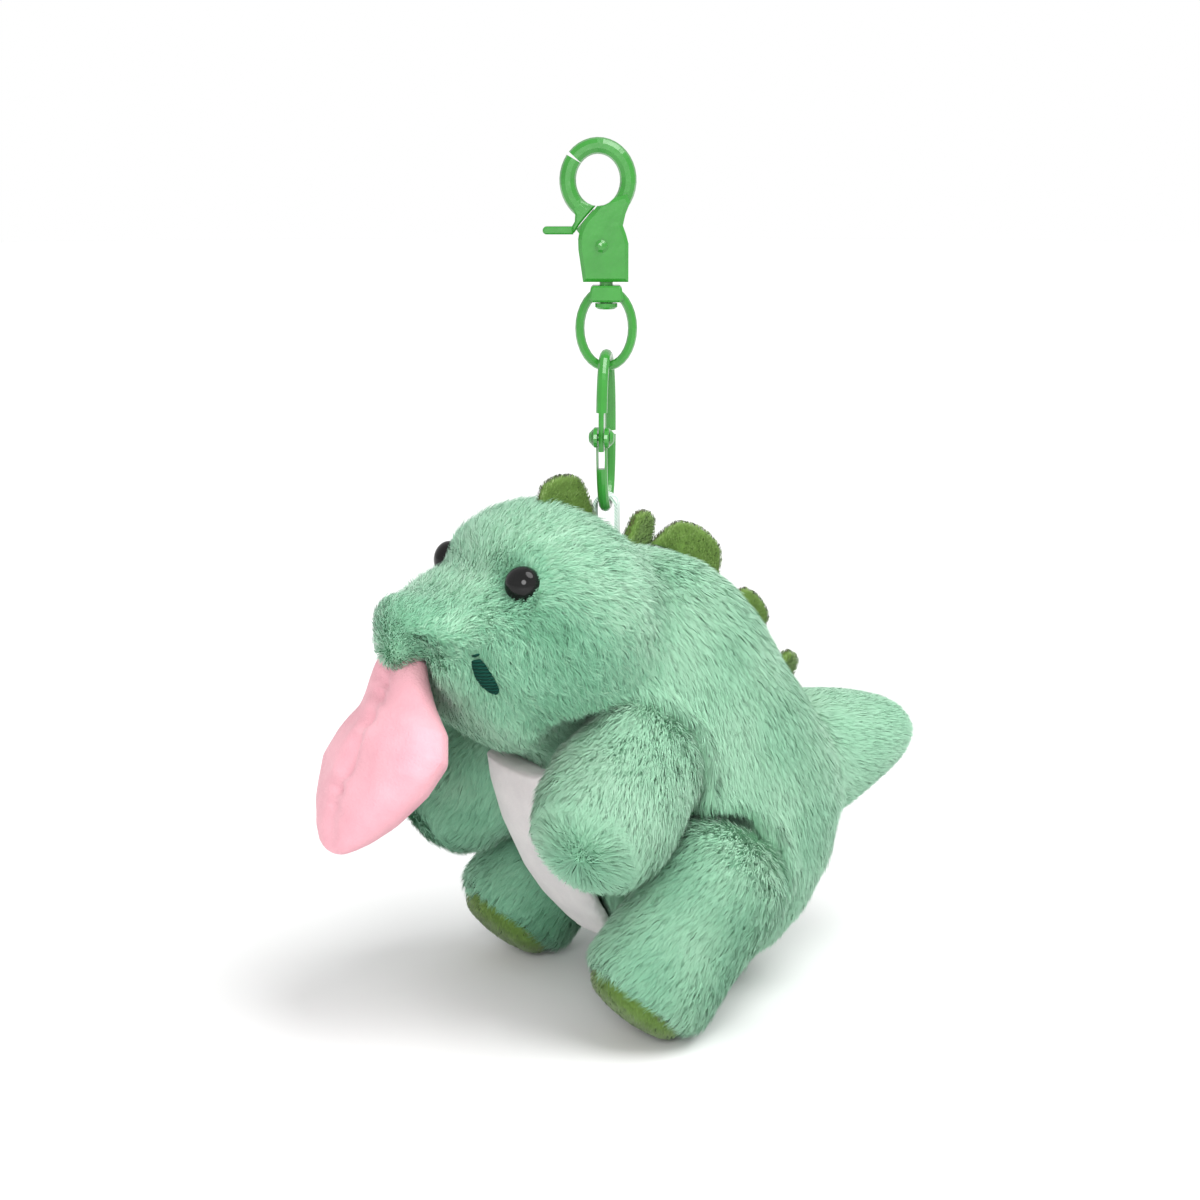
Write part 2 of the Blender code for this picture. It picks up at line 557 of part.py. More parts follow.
def spike(number, foot, lean_deg, radius_along, height, olive, yaw_deg=0.0):
    """A padded half-round scale: a flat rounded plate standing on the back, trimmed by what it stands on."""
    outline = []
    for i in range(24):
        c, s = super_ellipse(math.radians(15 * i), 2.0)
        reach = height if s > 0 else 5.0
        outline.append((radius_along * c, reach * s))
    bm = bmesh.new()
    face = bm.faces.new([bm.verts.new(vec(0, a, b)) for a, b in outline])
    made = bmesh.ops.extrude_face_region(bm, geom=[face])
    fresh = [g for g in made["geom"] if isinstance(g, bmesh.types.BMVert)]
    bmesh.ops.translate(bm, verts=fresh, vec=vec(SPIKE_THICK, 0, 0))
    bmesh.ops.translate(bm, verts=bm.verts, vec=vec(-SPIKE_THICK / 2, 0, 0))
    rim = [e for e in bm.edges if abs(e.verts[0].co.x - e.verts[1].co.x) < mm(0.01)]
    bmesh.ops.bevel(bm, geom=rim, offset=mm(0.8), segments=2, affect="EDGES", profile=0.5)
    turn = Matrix.Rotation(math.radians(lean_deg), 3, "X") @ Matrix.Rotation(math.radians(yaw_deg), 3, "Z")
    bmesh.ops.rotate(bm, verts=bm.verts, cent=(0, 0, 0), matrix=turn)
    bmesh.ops.translate(bm, verts=bm.verts, vec=vec(*foot))
    return add_object(f"spike_{number}", bm, olive)


def mouth_corner(side, head, thread):
    """An embroidered corner of the mouth: a thin curved band that lies on the cheek."""
    word = "left" if side > 0 else "right"
    bm = bmesh.new()
    bm.from_mesh(head.data)
    bm.normal_update()
    for vert in bm.verts:
        vert.co += vert.normal * mm(1.1)
    shell = add_object(f"mouth_corner_{word}", bm, thread)
    half_moons = arc(0, 0, 4.6, 90, 270, 8) + arc(0.2, 0, 4.6, 270, 450, 8)
    window = plate(f"mouth_window_{word}", half_moons, 20.0)
    window.scale = (0.42, 1.0, 1.0)
    window.rotation_euler = (0, math.radians(-14 * side), math.radians(62 * side))
    window.location = vec(side * 23.5, -39.0, -90.0)
    boolean(shell, window, "INTERSECT")
    boolean(shell, cutter_copy(f"mouth_bed_{word}", head, GAP))
    return shell


def dinosaur():
    fur = material("mint_fur", FUR, 0.9)
    olive = material("olive_velour", OLIVE, 0.85)
    pink = material("pink_velour", PINK, 0.85)
    white = material("white_velour", WHITE, 0.85)
    ribbon = material("loop_ribbon", WHITE, 0.8)
    plastic = material("black_plastic", BLACK, 0.15)
    washer = material("washer_plastic", WHITE, 0.5)
    thread = material("dark_thread", DARK_THREAD, 0.7)

    head = loft("head", HEAD, fur)
    trunk = loft("trunk", TRUNK, fur, along="Z")
    tail = loft("tail", TAIL, fur, sides=20)
    belly = loft("belly_panel", BELLY, white, along="Z", sides=16)
    tongue = tongue_form("tongue", pink)
    limbs = []
    for side in (1, -1):
        thigh = leg(side, fur, olive)
        limbs.append((thigh, (side * HIP[0], HIP[1], HIP[2]), LEG_SWEEP_DEG))
        limbs.append((arm(side, fur), (side * SHOULDER[0], SHOULDER[1], SHOULDER[2]), ARM_SWEEP_DEG))

    # The seams let the limbs and the tongue swing, so the trunk and the head keep clear of those swings.
    for piece, pivot, span in limbs:
        for cutter in sweep_cutters(piece, pivot, span):
            boolean(trunk, cutter, solver="MANIFOLD")
            if piece.name.startswith("arm"):
                boolean(belly, cutter, solver="MANIFOLD")
                boolean(head, cutter, solver="MANIFOLD")
    jaw_cut = plate("jaw_cut", [(-JAW_CUT_HALF_W, LIP_Z), (JAW_CUT_HALF_W, LIP_Z),
                                (JAW_CUT_HALF_W, JAW_CUT_LOW_Z), (-JAW_CUT_HALF_W, JAW_CUT_LOW_Z)],
                    JAW_CUT_DEPTH)
    jaw_cut.location = vec(0, JAW_FRONT - JAW_CUT_DEPTH / 2, 0)
    boolean(head, jaw_cut)
    for cutter in sweep_cutters(tongue, MOUTH, TONGUE_SWEEP_DEG, steps=4):
        boolean(head, cutter)
    head_bed = cutter_copy("head_bed", head, SOFT_GAP)
    belly_bed = cutter_copy("belly_bed", belly, SOFT_GAP)
    boolean(trunk, head_bed, solver="MANIFOLD")
    boolean(trunk, belly_bed, solver="MANIFOLD")
    boolean(belly, head_bed, solver="MANIFOLD")
    boolean(tail, cutter_copy("trunk_bed", trunk, SOFT_GAP))

    for side in (1, -1):
        boolean(head, eye(side, plastic, washer))
        mouth_corner(side, head, thread)

    slot = hang_loop(ribbon)
    boolean(head, slot)
    boolean(trunk, slot, solver="MANIFOLD")

    beds = [head_bed, cutter_copy("spike_trunk_bed", trunk, GAP), cutter_copy("spike_tail_bed", tail, GAP)]
    for number, foot, lean, along, height, yaw in SPIKES:
        piece = spike(number, foot, lean, along, height, olive, yaw)
        for bed in beds:
            boolean(piece, bed)


def main():
    clear_scene()
    paint = material("green_paint", GREEN_PAINT, 0.3)
    steel = material("spring_steel", (0.6, 0.6, 0.62), 0.3, 1.0)
    frame = clasp(paint)
    clasp_spring(steel, frame)
    swivel(paint, frame)
    clip(paint)
    dinosaur()


main()
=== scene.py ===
"""Looks for the stuffed dinosaur bag charm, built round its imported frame.

Lengths are in millimetres until mm(), vec() or move_points() turns them into metres.  The dinosaur
faces -Y, its left side is +X and +Z is up.  Each stuffed piece is a closed skin made from its CAD
solids.  A pile of real tapered strands grows from the fur and from the olive velour; the tongue and
the belly panel are plain cloth.
"""
import math
from collections import namedtuple

import bmesh
import bpy
import numpy as np
from mathutils import Matrix, Vector
from mathutils.bvhtree import BVHTree
from mathutils.kdtree import KDTree


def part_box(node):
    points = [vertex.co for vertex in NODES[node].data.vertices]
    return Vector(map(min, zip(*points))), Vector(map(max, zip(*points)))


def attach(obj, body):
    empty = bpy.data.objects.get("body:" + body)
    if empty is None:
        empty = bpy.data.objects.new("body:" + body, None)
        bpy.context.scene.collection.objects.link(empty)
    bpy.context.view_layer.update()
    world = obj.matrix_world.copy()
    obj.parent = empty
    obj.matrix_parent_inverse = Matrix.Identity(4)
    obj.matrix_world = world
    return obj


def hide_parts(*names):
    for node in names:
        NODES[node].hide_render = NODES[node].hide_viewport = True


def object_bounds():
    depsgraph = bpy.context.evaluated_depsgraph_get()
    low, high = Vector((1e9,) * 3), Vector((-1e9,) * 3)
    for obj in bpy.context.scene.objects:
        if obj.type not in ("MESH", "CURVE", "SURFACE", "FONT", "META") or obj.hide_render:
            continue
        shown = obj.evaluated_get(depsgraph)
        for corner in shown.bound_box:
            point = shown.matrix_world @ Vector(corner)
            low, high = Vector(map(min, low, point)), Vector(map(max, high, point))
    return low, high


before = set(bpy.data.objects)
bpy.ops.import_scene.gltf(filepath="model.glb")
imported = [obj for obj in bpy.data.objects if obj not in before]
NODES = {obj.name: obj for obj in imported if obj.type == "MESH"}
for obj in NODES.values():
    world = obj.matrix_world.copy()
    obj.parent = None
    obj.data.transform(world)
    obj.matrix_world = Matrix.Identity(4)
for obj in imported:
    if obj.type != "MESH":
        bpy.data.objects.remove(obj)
cad_low, cad_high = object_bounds()

# ---------------------------------------------------------------- sizes (millimetres) and colours
FUR_INSET = 2.1              # how far under the CAD surface a skin lies
VELOUR_INSET = 0.5
SPIKE_INSET = 0.15
FUR_VOXEL = 1.5              # voxels that a skin is remeshed with
VELOUR_VOXEL = 0.9
SPIKE_VOXEL = 0.45
FUR_SMOOTHING = 8            # rounds of smoothing that follow
BODY_SMOOTHING = 9
VELOUR_SMOOTHING = 4
SEAM_FILL = 0.4              # closes the thin gaps between solids that melt together

# A pile has so many strands on each square millimetre, of this length and width.  Lift is the sine of
# their lean away from the skin, clump is how many share a clump and grip draws their tips together.
Pile = namedtuple("Pile", "density length lift width clump grip")
FUR_PILE = Pile(19.0, 3.5, 0.60, 0.14, 6, 0.3)
VELOUR_PILE = Pile(9.0, 0.9, 0.60, 0.17, 7, 0.2)
SPIKE_PILE = Pile(12.0, 0.7, 0.60, 0.17, 7, 0.2)
STRANDS_PER_PIECE = 65000    # three triangles each: at most 195,000 triangles in a piece

# How unruly a pile of roughness 1 is.  Turns are in radians; patches are areas of the skin.
PATCH_SIZE = 6.0
PATCH_TURN, CLUMP_TURN, OWN_TURN = 0.34, 0.20, 0.28
OWN_LEAN, PATCH_LEAN, LEAN_RANGE = 0.12, 0.10, (0.08, 0.95)
OWN_LENGTH, LENGTH_RANGE = 0.12, (0.6, 1.35)
RISE_CURVE, RUN_CURVE, PULL_CURVE = 2.2, 1.25, 1.4     # powers that bend a strand along its length
PULL_LEAST, OWN_PULL = 0.75, 0.35
OWN_ROLL = 0.7
WIDTH_LEAST, OWN_WIDTH, MIDDLE_WIDTH = 0.8, 0.4, 0.8
HEADING_SHADE, OWN_SHADE = 0.12, 0.08                  # tilt of the shading normals
CLUMP_FLECK, OWN_FLECK = 0.06, 0.07                    # tone

PLUMP = 1.5                  # how far touching skins fill the hollow between them
PLUMP_REACH = 3.0
BELLY_PUFF = 3.0
BELLY_SPREAD = 1.14
SOLE_PUFF = 2.4
SOLE_R = 11.5
LEG_AXIS = (0.02, 0.67, 0.74)
SPIKE_SPREAD = 1.12
SPIKE_SINK = 4.4             # how far a spike's root goes down into the fur
TONGUE_SPREAD = 1.12

EYE_AT = (15.6, -27.0, -74.2)
EYE_DIRECTION = (0.62, -0.76, 0.18)
EYE_R = 3.5
EYE_PROUD = 0.3              # how far a dome stands out past its CAD place
EYE_SIDES = 48
CORNER_TOP = (20.4, -40.4, -85.8)      # upper end of the embroidered mouth corner
CORNER_LOW = (22.4, -36.4, -93.8)
CORNER_WIDTH = 3.1
STITCHES = 24
STITCH_LIFT = 3.2                      # how far over the skin the stitches lie, on top of the fur
EYE_CLEARING = (2.9, 12.0)             # radius and depth round an eye without fur
CORNER_CLEARING = 3.1
SPIKE_CLEARING = 0.4
ARM_WHORL = (33.0, -27.0, -126.0)      # where an arm's fur parts
RIGHT_ARM_DROP = 5.0

# Which way the fur of the head lies: (place, direction), mirrored to the other side.
HEAD_GUIDES = [((3, -48, -83), (0.3, 0.6, 0.4)), ((10, -44, -80), (0.3, 0.9, 0.1)),
               ((12, -45, -86), (0.4, 0.8, -0.1)), ((0, -36, -75), (0, 0.8, 0.6)),
               ((0, -25, -65), (0, 1, 0.2)), ((0, -10, -61), (0, 1, -0.1)),
               ((12, -27, -68), (0.2, 0.9, 0.2)), ((20, -20, -68), (0.1, 0.9, -0.2)),
               ((22, -22, -74), (0.1, 0.8, -0.5)), ((17, -33, -78), (0.3, 0.5, -0.8)),
               ((20, -34, -84), (0.2, 0.3, -1)), ((25, -20, -88), (0, 0.45, -0.9)),
               ((26, -8, -82), (0, 0.3, -1)), ((20, -38, -97), (-0.1, 0.1, -1)),
               ((8, -40, -100), (0, 0.3, -1)), ((8, -28, -108), (0, 0.9, -0.3)),
               ((20, 0, -75), (0, 0.3, -1)), ((22, -24, -102), (0, 0.5, -0.8))]

# The velour spikes: the middle of each root (y, z), its lean and its turn in degrees.
SPIKES = {1: (-9.7, -63.6, 6.0, 0.0), 2: (7.2, -71.4, -20.0, 25.0), 3: (18.2, -77.0, -32.0, 0.0),
          4: (32.4, -90.4, -46.0, 8.0), 5: (43.0, -102.6, -40.0, 30.0)}

# Seams and folds pressed into the head: (points, depth, width), mirrored to the other side.
HEAD_FOLDS = [([(9, -46.2, -88.0), (13.5, -45, -87.0), (17, -42.4, -86.4), (21, -39, -86)], 1.7, 0.6),
              ([(21.8, -35, -94.6), (21.4, -31, -98.2), (21.4, -25.7, -100.8)], 1.4, 1.0),
              ([(0, -33, -72.2), (7.5, -32, -71.8), (13, -31.2, -73.5)], 1.3, 1.0),
              ([(16, -30, -79), (21, -28.6, -79.5), (25, -23, -80.5)], 0.7, 1.0)]
BACK_FOLD = ([(0, 13, -73), (0, 18, -77), (0, 32, -90), (0, 42, -103)], 2.2, 6.0)    # seats the spikes
# Stuffing that rounds the snout and fills the head behind the eyes: (place, radii).
SNOUT_STUFFING = [((0, -42.2, -83.6), (13.5, 7.0, 7.0)), ((0, -44.6, -82.4), (10.0, 6.3, 6.5)),
                  ((0, -46.4, -86.6), (8.0, 4.6, 6.3))]
EYE_STUFFING_BACK = 6.0
EYE_STUFFING_R = 8.3
# Parts of the skin moved by (place, shift, reach): the lip lifts over the tongue on the left side.
HEAD_PUSHES = [((7.0, -44.5, -88.5), (0, 0.8, 3.0), 4.0)]
# Small moves of the left (1) and right (-1) arm from their CAD places.
ARM_SHIFTS = {1: (0.4, 1.3, 0.3), -1: (0, -0.6, -0.8)}

# Where the fur is painted darker: (place, drop, reach), mirrored to the other side.
# The snout and the cheek are darker; the other places are painted shade: where the head meets the trunk,
# on the lit crown and round the sunk eyes.
SHADE_AND_TONE_PLACES = [((6, -44, -82), 0.20, 9.0), ((23, -26, -88), 0.24, 12.0),
               ((20, -6, -96), 0.12, 10.0), ((10, -22, -66), 0.08, 14.0), (EYE_AT, 0.30, 5.0)]
# Painted shade along the folds of the head: the drop for each millimetre of fold depth, and its reach.
FOLD_SHADE, FOLD_SHADE_REACH = 0.15, 1.2

# The head's fur is tousled; the trunk's and the tail's are brushed smooth.
HEAD_MESS, TRUNK_MESS, TAIL_MESS = 1.35, 0.3, 0.2
LIMB_MESS, SOLE_MESS, SPIKE_MESS = 0.6, 0.5, 0.8
# Shorter fur: the share that is cut off, and how far the cut reaches.
SNOUT_TRIM, SNOUT_FROM_Y, SNOUT_FADE, SNOUT_LOW_Z = 0.45, -38, 9, -95
BACK_TRIM, BACK_TRIM_REACH = 0.4, 9.0
TAIL_TRIM = 0.25
EYE_TRIM, EYE_TRIM_REACH = 0.4, 6.0
BODY_PARTS = ("head", "trunk", "tail")
BLEND_GAP, BLEND_POWER = 0.8, 4        # how sharply the body's parts take over from each other
SIDES = ((1, "left"), (-1, "right"))

FUR_DEEP = (0.150, 0.410, 0.240)
FUR_LOW = (0.260, 0.580, 0.380)
FUR_MID = (0.380, 0.710, 0.490)
FUR_HIGH = (0.500, 0.800, 0.590)
FUR_PALE = (0.620, 0.880, 0.700)
OLIVE = (0.165, 0.300, 0.060)
OLIVE_PALE = (0.330, 0.480, 0.170)
BROWN = (0.090, 0.075, 0.030)
PINK = (0.760, 0.370, 0.430)
PINK_PALE = (0.830, 0.430, 0.490)
WHITE_LOW = (0.580, 0.570, 0.570)
WHITE = (0.660, 0.650, 0.640)
GREEN_PAINT = (0.030, 0.275, 0.025)
THREAD = (0.004, 0.060, 0.042)

# ---------------------------------------------------------------- camera and light
CAMERA_AZIMUTH, CAMERA_ELEVATION = 60, 11.5    # degrees, the photograph's viewing angle
CAMERA_DISTANCE = 0.44                         # metres
CAMERA_TARGET = (0, -0.0014, -0.0825)
CAMERA_LENS = 66.0
SUN_FROM = (0.42, 0.26, 0.87)
SUN_ANGLE, SUN_POWER = 40, 2.2
FILL_FROM, FILL_SIZE, FILL_WATTS = (0.45, -0.35, 0.15), 0.25, 1.6
WORLD_LIGHT = 0.72
FLOOR_DROP = 0.6                               # millimetres of floor under the lowest sole
FLOOR_RADIUS = 4.0                             # metres


def mm(value):
    return value * 0.001


def vec(x, y, z):
    """A point in millimetres as a vector in metres."""
    return Vector((mm(x), mm(y), mm(z)))


def unit(rows):
    return rows / np.maximum(np.linalg.norm(rows, axis=-1, keepdims=True), 1e-9)


def waves(points, size, seed):
    """Smooth noise from -1 to 1 at points (millimetres), with features about size across."""
    count, pitch, gain = 7, 2.2, 2.0
    rng = np.random.default_rng(seed)
    directions = rng.normal(size=(count, 3)) * (pitch / size)
    phases = rng.uniform(0, 2 * math.pi, count)
    return np.clip(np.sin(points @ directions.T + phases).mean(axis=1) * gain, -1, 1)


def mirrored(path, side):
    """A point or a path on the left side (1), or its mirror image on the right side (-1)."""
    return np.array(path, float) * np.array([side, 1, 1])


# ---------------------------------------------------------------- materials
def new_material(name, roughness, metallic=0.0, **sockets):
    made = bpy.data.materials.new(name)
    made.use_nodes = True
    shader = made.node_tree.nodes["Principled BSDF"]
    shader.inputs["Roughness"].default_value = roughness
    shader.inputs["Metallic"].default_value = metallic
    for socket, value in sockets.items():
        shader.inputs[socket.replace("_", " ")].default_value = value
    return made, made.node_tree, shader


def node(tree, kind, **values):
    made = tree.nodes.new(kind)
    for name, value in values.items():
        if name in made.inputs:
            made.inputs[name].default_value = value
        else:
            setattr(made, name, value)
    return made


def ramp(tree, factor, stops):
    made = tree.nodes.new("ShaderNodeValToRGB")
    elements = made.color_ramp.elements
    while len(elements) < len(stops):
        elements.new(0.5)
    for element, (place, colour) in zip(elements, stops):
        element.position = place
        element.color = (*colour, 1.0)
    tree.links.new(factor, made.inputs["Fac"])
    return made.outputs["Color"]


def noise(tree, scale, detail):
    """Noise over the object's own coordinates, which are the frame's."""
    place = tree.nodes.new("ShaderNodeTexCoord")
    made = node(tree, "ShaderNodeTexNoise", Scale=scale, Detail=detail, Roughness=0.55)
    tree.links.new(place.outputs["Object"], made.inputs["Vector"])
    return made.outputs["Fac"]


def multiply(tree, first, second):
    made = tree.nodes.new("ShaderNodeMix")
    made.data_type = "RGBA"
    made.blend_type = "MULTIPLY"
    made.inputs["Factor"].default_value = 1.0
    tree.links.new(first, made.inputs["A"])
    tree.links.new(second, made.inputs["B"])
    return made.outputs["Result"]


def bump(tree, shader, height, distance):
    made = node(tree, "ShaderNodeBump", Distance=distance, Strength=1.0)
    tree.links.new(height, made.inputs["Height"])
    tree.links.new(made.outputs["Normal"], shader.inputs["Normal"])


def pile_material(name, stops, root):
    """Strand colour: the strand's own shade runs along U, and its root to tip along V."""
    made, tree, shader = new_material(name, 0.8, Specular_IOR_Level=0.15, Sheen_Weight=0.25,
                                      Sheen_Roughness=0.5)
    coords = node(tree, "ShaderNodeUVMap", uv_map="OFBake")
    split = tree.nodes.new("ShaderNodeSeparateXYZ")
    tree.links.new(coords.outputs["UV"], split.inputs["Vector"])
    shade = ramp(tree, split.outputs["X"], stops)
    depth = ramp(tree, split.outputs["Y"], [(0.0, (root,) * 3), (0.5, (0.95,) * 3), (1.0, (1.0,) * 3)])
    tree.links.new(multiply(tree, shade, depth), shader.inputs["Base Color"])
    return made


def mottled(name, roughness, low, high, scale, detail=3.0, spread=0.2, metallic=0.0, **sockets):
    """A material with soft patches of two colours."""
    made, tree, shader = new_material(name, roughness, metallic, **sockets)
    colour = ramp(tree, noise(tree, scale, detail), [(0.5 - spread, low), (0.5 + spread, high)])
    tree.links.new(colour, shader.inputs["Base Color"])
    return made


def raised(made, scale, depth):
    """Add a fine grain, depth metres high, to a material."""
    tree = made.node_tree
    bump(tree, tree.nodes["Principled BSDF"], noise(tree, scale, 2.0), depth)
    return made


def cloth_material(name, low, high, grain=900.0, sheen=0.5, depth=0.00012):
    """Short-pile cloth: patches of two shades, with a fine nap."""
    return raised(mottled(name, 0.85, low, high, 160.0, 5.0, Specular_IOR_Level=0.2,
                          Sheen_Weight=sheen, Sheen_Roughness=0.4), grain, depth)


def paint_material():
    low = tuple(c * 0.86 for c in GREEN_PAINT)
    return raised(mottled("green_paint_look", 0.28, low, GREEN_PAINT, 220.0, 4.0, spread=0.15,
                          Coat_Weight=0.5, Coat_Roughness=0.12, Specular_IOR_Level=0.5), 420.0, 0.00005)


def woven(name, scale, distortion, direction, stops, depth, **sockets):
    """Ribbon or thread: a wave texture colours and raises it."""
    made, tree, shader = new_material(name, 0.7, **sockets)
    place = tree.nodes.new("ShaderNodeTexCoord")
    weave = node(tree, "ShaderNodeTexWave", Scale=scale, Distortion=distortion,
                 bands_direction=direction)
    tree.links.new(place.outputs["Object"], weave.inputs["Vector"])
    tree.links.new(ramp(tree, weave.outputs["Fac"], stops), shader.inputs["Base Color"])
    bump(tree, shader, weave.outputs["Fac"], depth)
    return made


# ---------------------------------------------------------------- mesh helpers
def wear(mesh, material):
    mesh.materials.clear()
    mesh.materials.append(material)


def link(name, mesh, material=None):
    item = bpy.data.objects.new(name, mesh)
    bpy.context.scene.collection.objects.link(item)
    if material is not None:
        wear(mesh, material)
    mesh.shade_smooth()
    return item


def settle(item):
    """Apply an object's modifiers to its mesh."""
    graph = bpy.context.evaluated_depsgraph_get()
    mesh = bpy.data.meshes.new_from_object(item.evaluated_get(graph))
    item.modifiers.clear()
    item.data = mesh


def skin(name, sources, material, inset, voxel, smoothing, stuffing=()):
    """A smooth closed skin inside one or more CAD soft solids, which melt together where they touch.

    Stuffing adds (place, radii) ellipsoids to the solids before they melt.
    """
    bm = bmesh.new()
    for source in sources:
        bm.from_mesh(NODES[source].data)
    for place, radii in stuffing:
        matrix = Matrix.Translation(vec(*place)) @ Matrix.Diagonal((*vec(*radii), 1.0))
        bmesh.ops.create_uvsphere(bm, u_segments=48, v_segments=24, radius=1.0, matrix=matrix)
    mesh = bpy.data.meshes.new(name)
    bm.to_mesh(mesh)
    bm.free()
    item = link(name, mesh)
    swell = item.modifiers.new("swell", "DISPLACE")
    swell.strength = mm(SEAM_FILL)
    swell.mid_level = 0.0
    remesh = item.modifiers.new("remesh", "REMESH")
    remesh.mode = "VOXEL"
    remesh.voxel_size = mm(voxel)
    relax = item.modifiers.new("relax", "SMOOTH")
    relax.factor = 0.5
    relax.iterations = smoothing
    shrink = item.modifiers.new("shrink", "DISPLACE")
    shrink.strength = -mm(inset + SEAM_FILL)
    shrink.mid_level = 0.0
    settle(item)
    wear(item.data, material)
    item.data.shade_smooth()
    return item


def mesh_arrays(item):
    """Vertices and vertex normals in millimetres, and triangles, of an applied mesh."""
    mesh = item.data
    mesh.calc_loop_triangles()
    points = np.empty(len(mesh.vertices) * 3, np.float32)
    mesh.vertices.foreach_get("co", points)
    normals = np.empty(len(mesh.vertices) * 3, np.float32)
    mesh.vertex_normals.foreach_get("vector", normals)
    corners = np.empty(len(mesh.loop_triangles) * 3, np.int32)
    mesh.loop_triangles.foreach_get("vertices", corners)
    points = points.reshape(-1, 3).astype(float) * 1000
    return points, normals.reshape(-1, 3).astype(float), corners.reshape(-1, 3)


def move_points(item, points):
    item.data.vertices.foreach_set("co", (points * 0.001).astype(np.float32).ravel())
    item.data.update()


def surface_of(*names):
    """Search trees over CAD nodes, in metres, each with its box in millimetres."""
    made = []
    for name in names:
        mesh = NODES[name].data
        tree = BVHTree.FromPolygons([v.co for v in mesh.vertices],
                                    [tuple(f.vertices) for f in mesh.polygons])
        low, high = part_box(name)
        made.append((tree, np.array(low) * 1000, np.array(high) * 1000))
    return made


def inside(surfaces, points):
    """Which points (millimetres) lie inside any of the closed surfaces.

    A ray from a point inside leaves a closed surface after an odd number of crossings.
    """
    step = 1e-6
    found = np.zeros(len(points), bool)
    aim = Vector((0.31, 0.17, 0.93)).normalized()
    for tree, low, high in surfaces:
        boxed = ((points > low) & (points < high)).all(axis=1) & ~found
        for i in np.flatnonzero(boxed):
            start = Vector(points[i] * 0.001)
            odd = False
            while True:
                hit = tree.ray_cast(start, aim)[0]
                if hit is None:
                    break
                odd = not odd
                start = hit + aim * step
            found[i] = odd
    return found


# ---------------------------------------------------------------- pile
def scatter(item, per_mm2, rng):
    """Random points on a mesh with their normals, in millimetres."""
    points, normals, corners = mesh_arrays(item)
    a, b, c = points[corners[:, 0]], points[corners[:, 1]], points[corners[:, 2]]
    areas = np.linalg.norm(np.cross(b - a, c - a), axis=1) / 2
    count = int(areas.sum() * per_mm2)
    pick = np.searchsorted(np.cumsum(areas) / areas.sum(), rng.random(count)).clip(0, len(areas) - 1)
    u, v = rng.random(count), rng.random(count)
    over = u + v > 1
    u[over], v[over] = 1 - u[over], 1 - v[over]
    w = 1 - u - v
    weights = np.stack([w, u, v], axis=1)[:, :, None]
    spots = (points[corners[pick]] * weights).sum(axis=1)
    return spots, unit((normals[corners[pick]] * weights).sum(axis=1))


def nearest_clump(spots, centres):
    tree = KDTree(len(centres))
    for i, point in enumerate(centres):
        tree.insert(point, i)
    tree.balance()
    return np.array([tree.find(point)[1] for point in spots])


def strands(spots, normals, along, length, pile, rng, shade, seed, rough):
    """Tapered blades laid along a surface and drawn together into clumps.

    Returns the vertices of each blade (strand, 5, 3), their normals and their (shade, height) pairs.
    """
    count = len(spots)
    centres = rng.permutation(count)[:max(1, count // pile.clump)]
    owner = centres[nearest_clump(spots, spots[centres])]
    swirl = rng.normal(size=count)
    turn = rough * (PATCH_TURN * waves(spots, PATCH_SIZE, seed) + CLUMP_TURN * swirl[owner]
                    + OWN_TURN * rng.normal(size=count))
    along = unit(along - normals * (along * normals).sum(axis=1, keepdims=True))
    side = np.cross(normals, along)
    along = along * np.cos(turn)[:, None] + side * np.sin(turn)[:, None]
    uneven = OWN_LEAN * rng.normal(size=count) + PATCH_LEAN * waves(spots, PATCH_SIZE, seed + 7)
    lean = np.clip(pile.lift * (1 + rough * uneven), *LEAN_RANGE)
    reach = length * (1 + OWN_LENGTH * rng.normal(size=count)).clip(*LENGTH_RANGE)

    steps = np.array([0.0, 0.5, 1.0])
    rise = 1 - (1 - steps) ** RISE_CURVE
    out = (lean * reach)[:, None, None] * rise[None, :, None] * normals[:, None, :]
    flat = np.sqrt(1 - lean ** 2)
    run = (flat * reach)[:, None, None] * (steps ** RUN_CURVE)[None, :, None] * along[:, None, :]
    path = spots[:, None, :] + out + run
    grip = rough * pile.grip * (PULL_LEAST + OWN_PULL * rng.random(count))
    path = path + (path[owner] - path) * (grip[:, None, None] * (steps ** PULL_CURVE)[None, :, None])

    heading = unit(path[:, 2] - path[:, 0])
    across = unit(np.cross(heading, normals))
    roll = rng.normal(size=count) * OWN_ROLL
    blade = across * np.cos(roll)[:, None] + normals * np.sin(roll)[:, None]
    half = pile.width / 2 * (WIDTH_LEAST + OWN_WIDTH * rng.random(count))[:, None, None]
    edge = blade[:, None, :] * half * np.array([1.0, MIDDLE_WIDTH])[None, :, None]
    verts = np.empty((count, 5, 3))
    verts[:, 0:4:2] = path[:, :2] - edge
    verts[:, 1:4:2] = path[:, :2] + edge
    verts[:, 4] = path[:, 2]

    uneven = OWN_SHADE * np.reshape(rough, (-1, 1)) * rng.normal(size=(count, 3))
    facing = unit(normals + HEADING_SHADE * heading + uneven)
    flecks = CLUMP_FLECK * swirl[owner] + OWN_FLECK * rng.normal(size=count)
    coords = np.empty((count, 5, 2))
    coords[:, :, 0] = np.clip(shade + rough * flecks, 0.01, 0.99)[:, None]
    coords[:, :, 1] = 0.01 + 0.98 * np.array([0.0, 0.0, 0.5, 0.5, 1.0])[None, :]
    return verts, np.repeat(facing[:, None, :], 5, axis=1), coords


BLADE = np.array([[0, 1, 3], [0, 3, 2], [2, 3, 4]])    # a blade's triangles over its five vertices


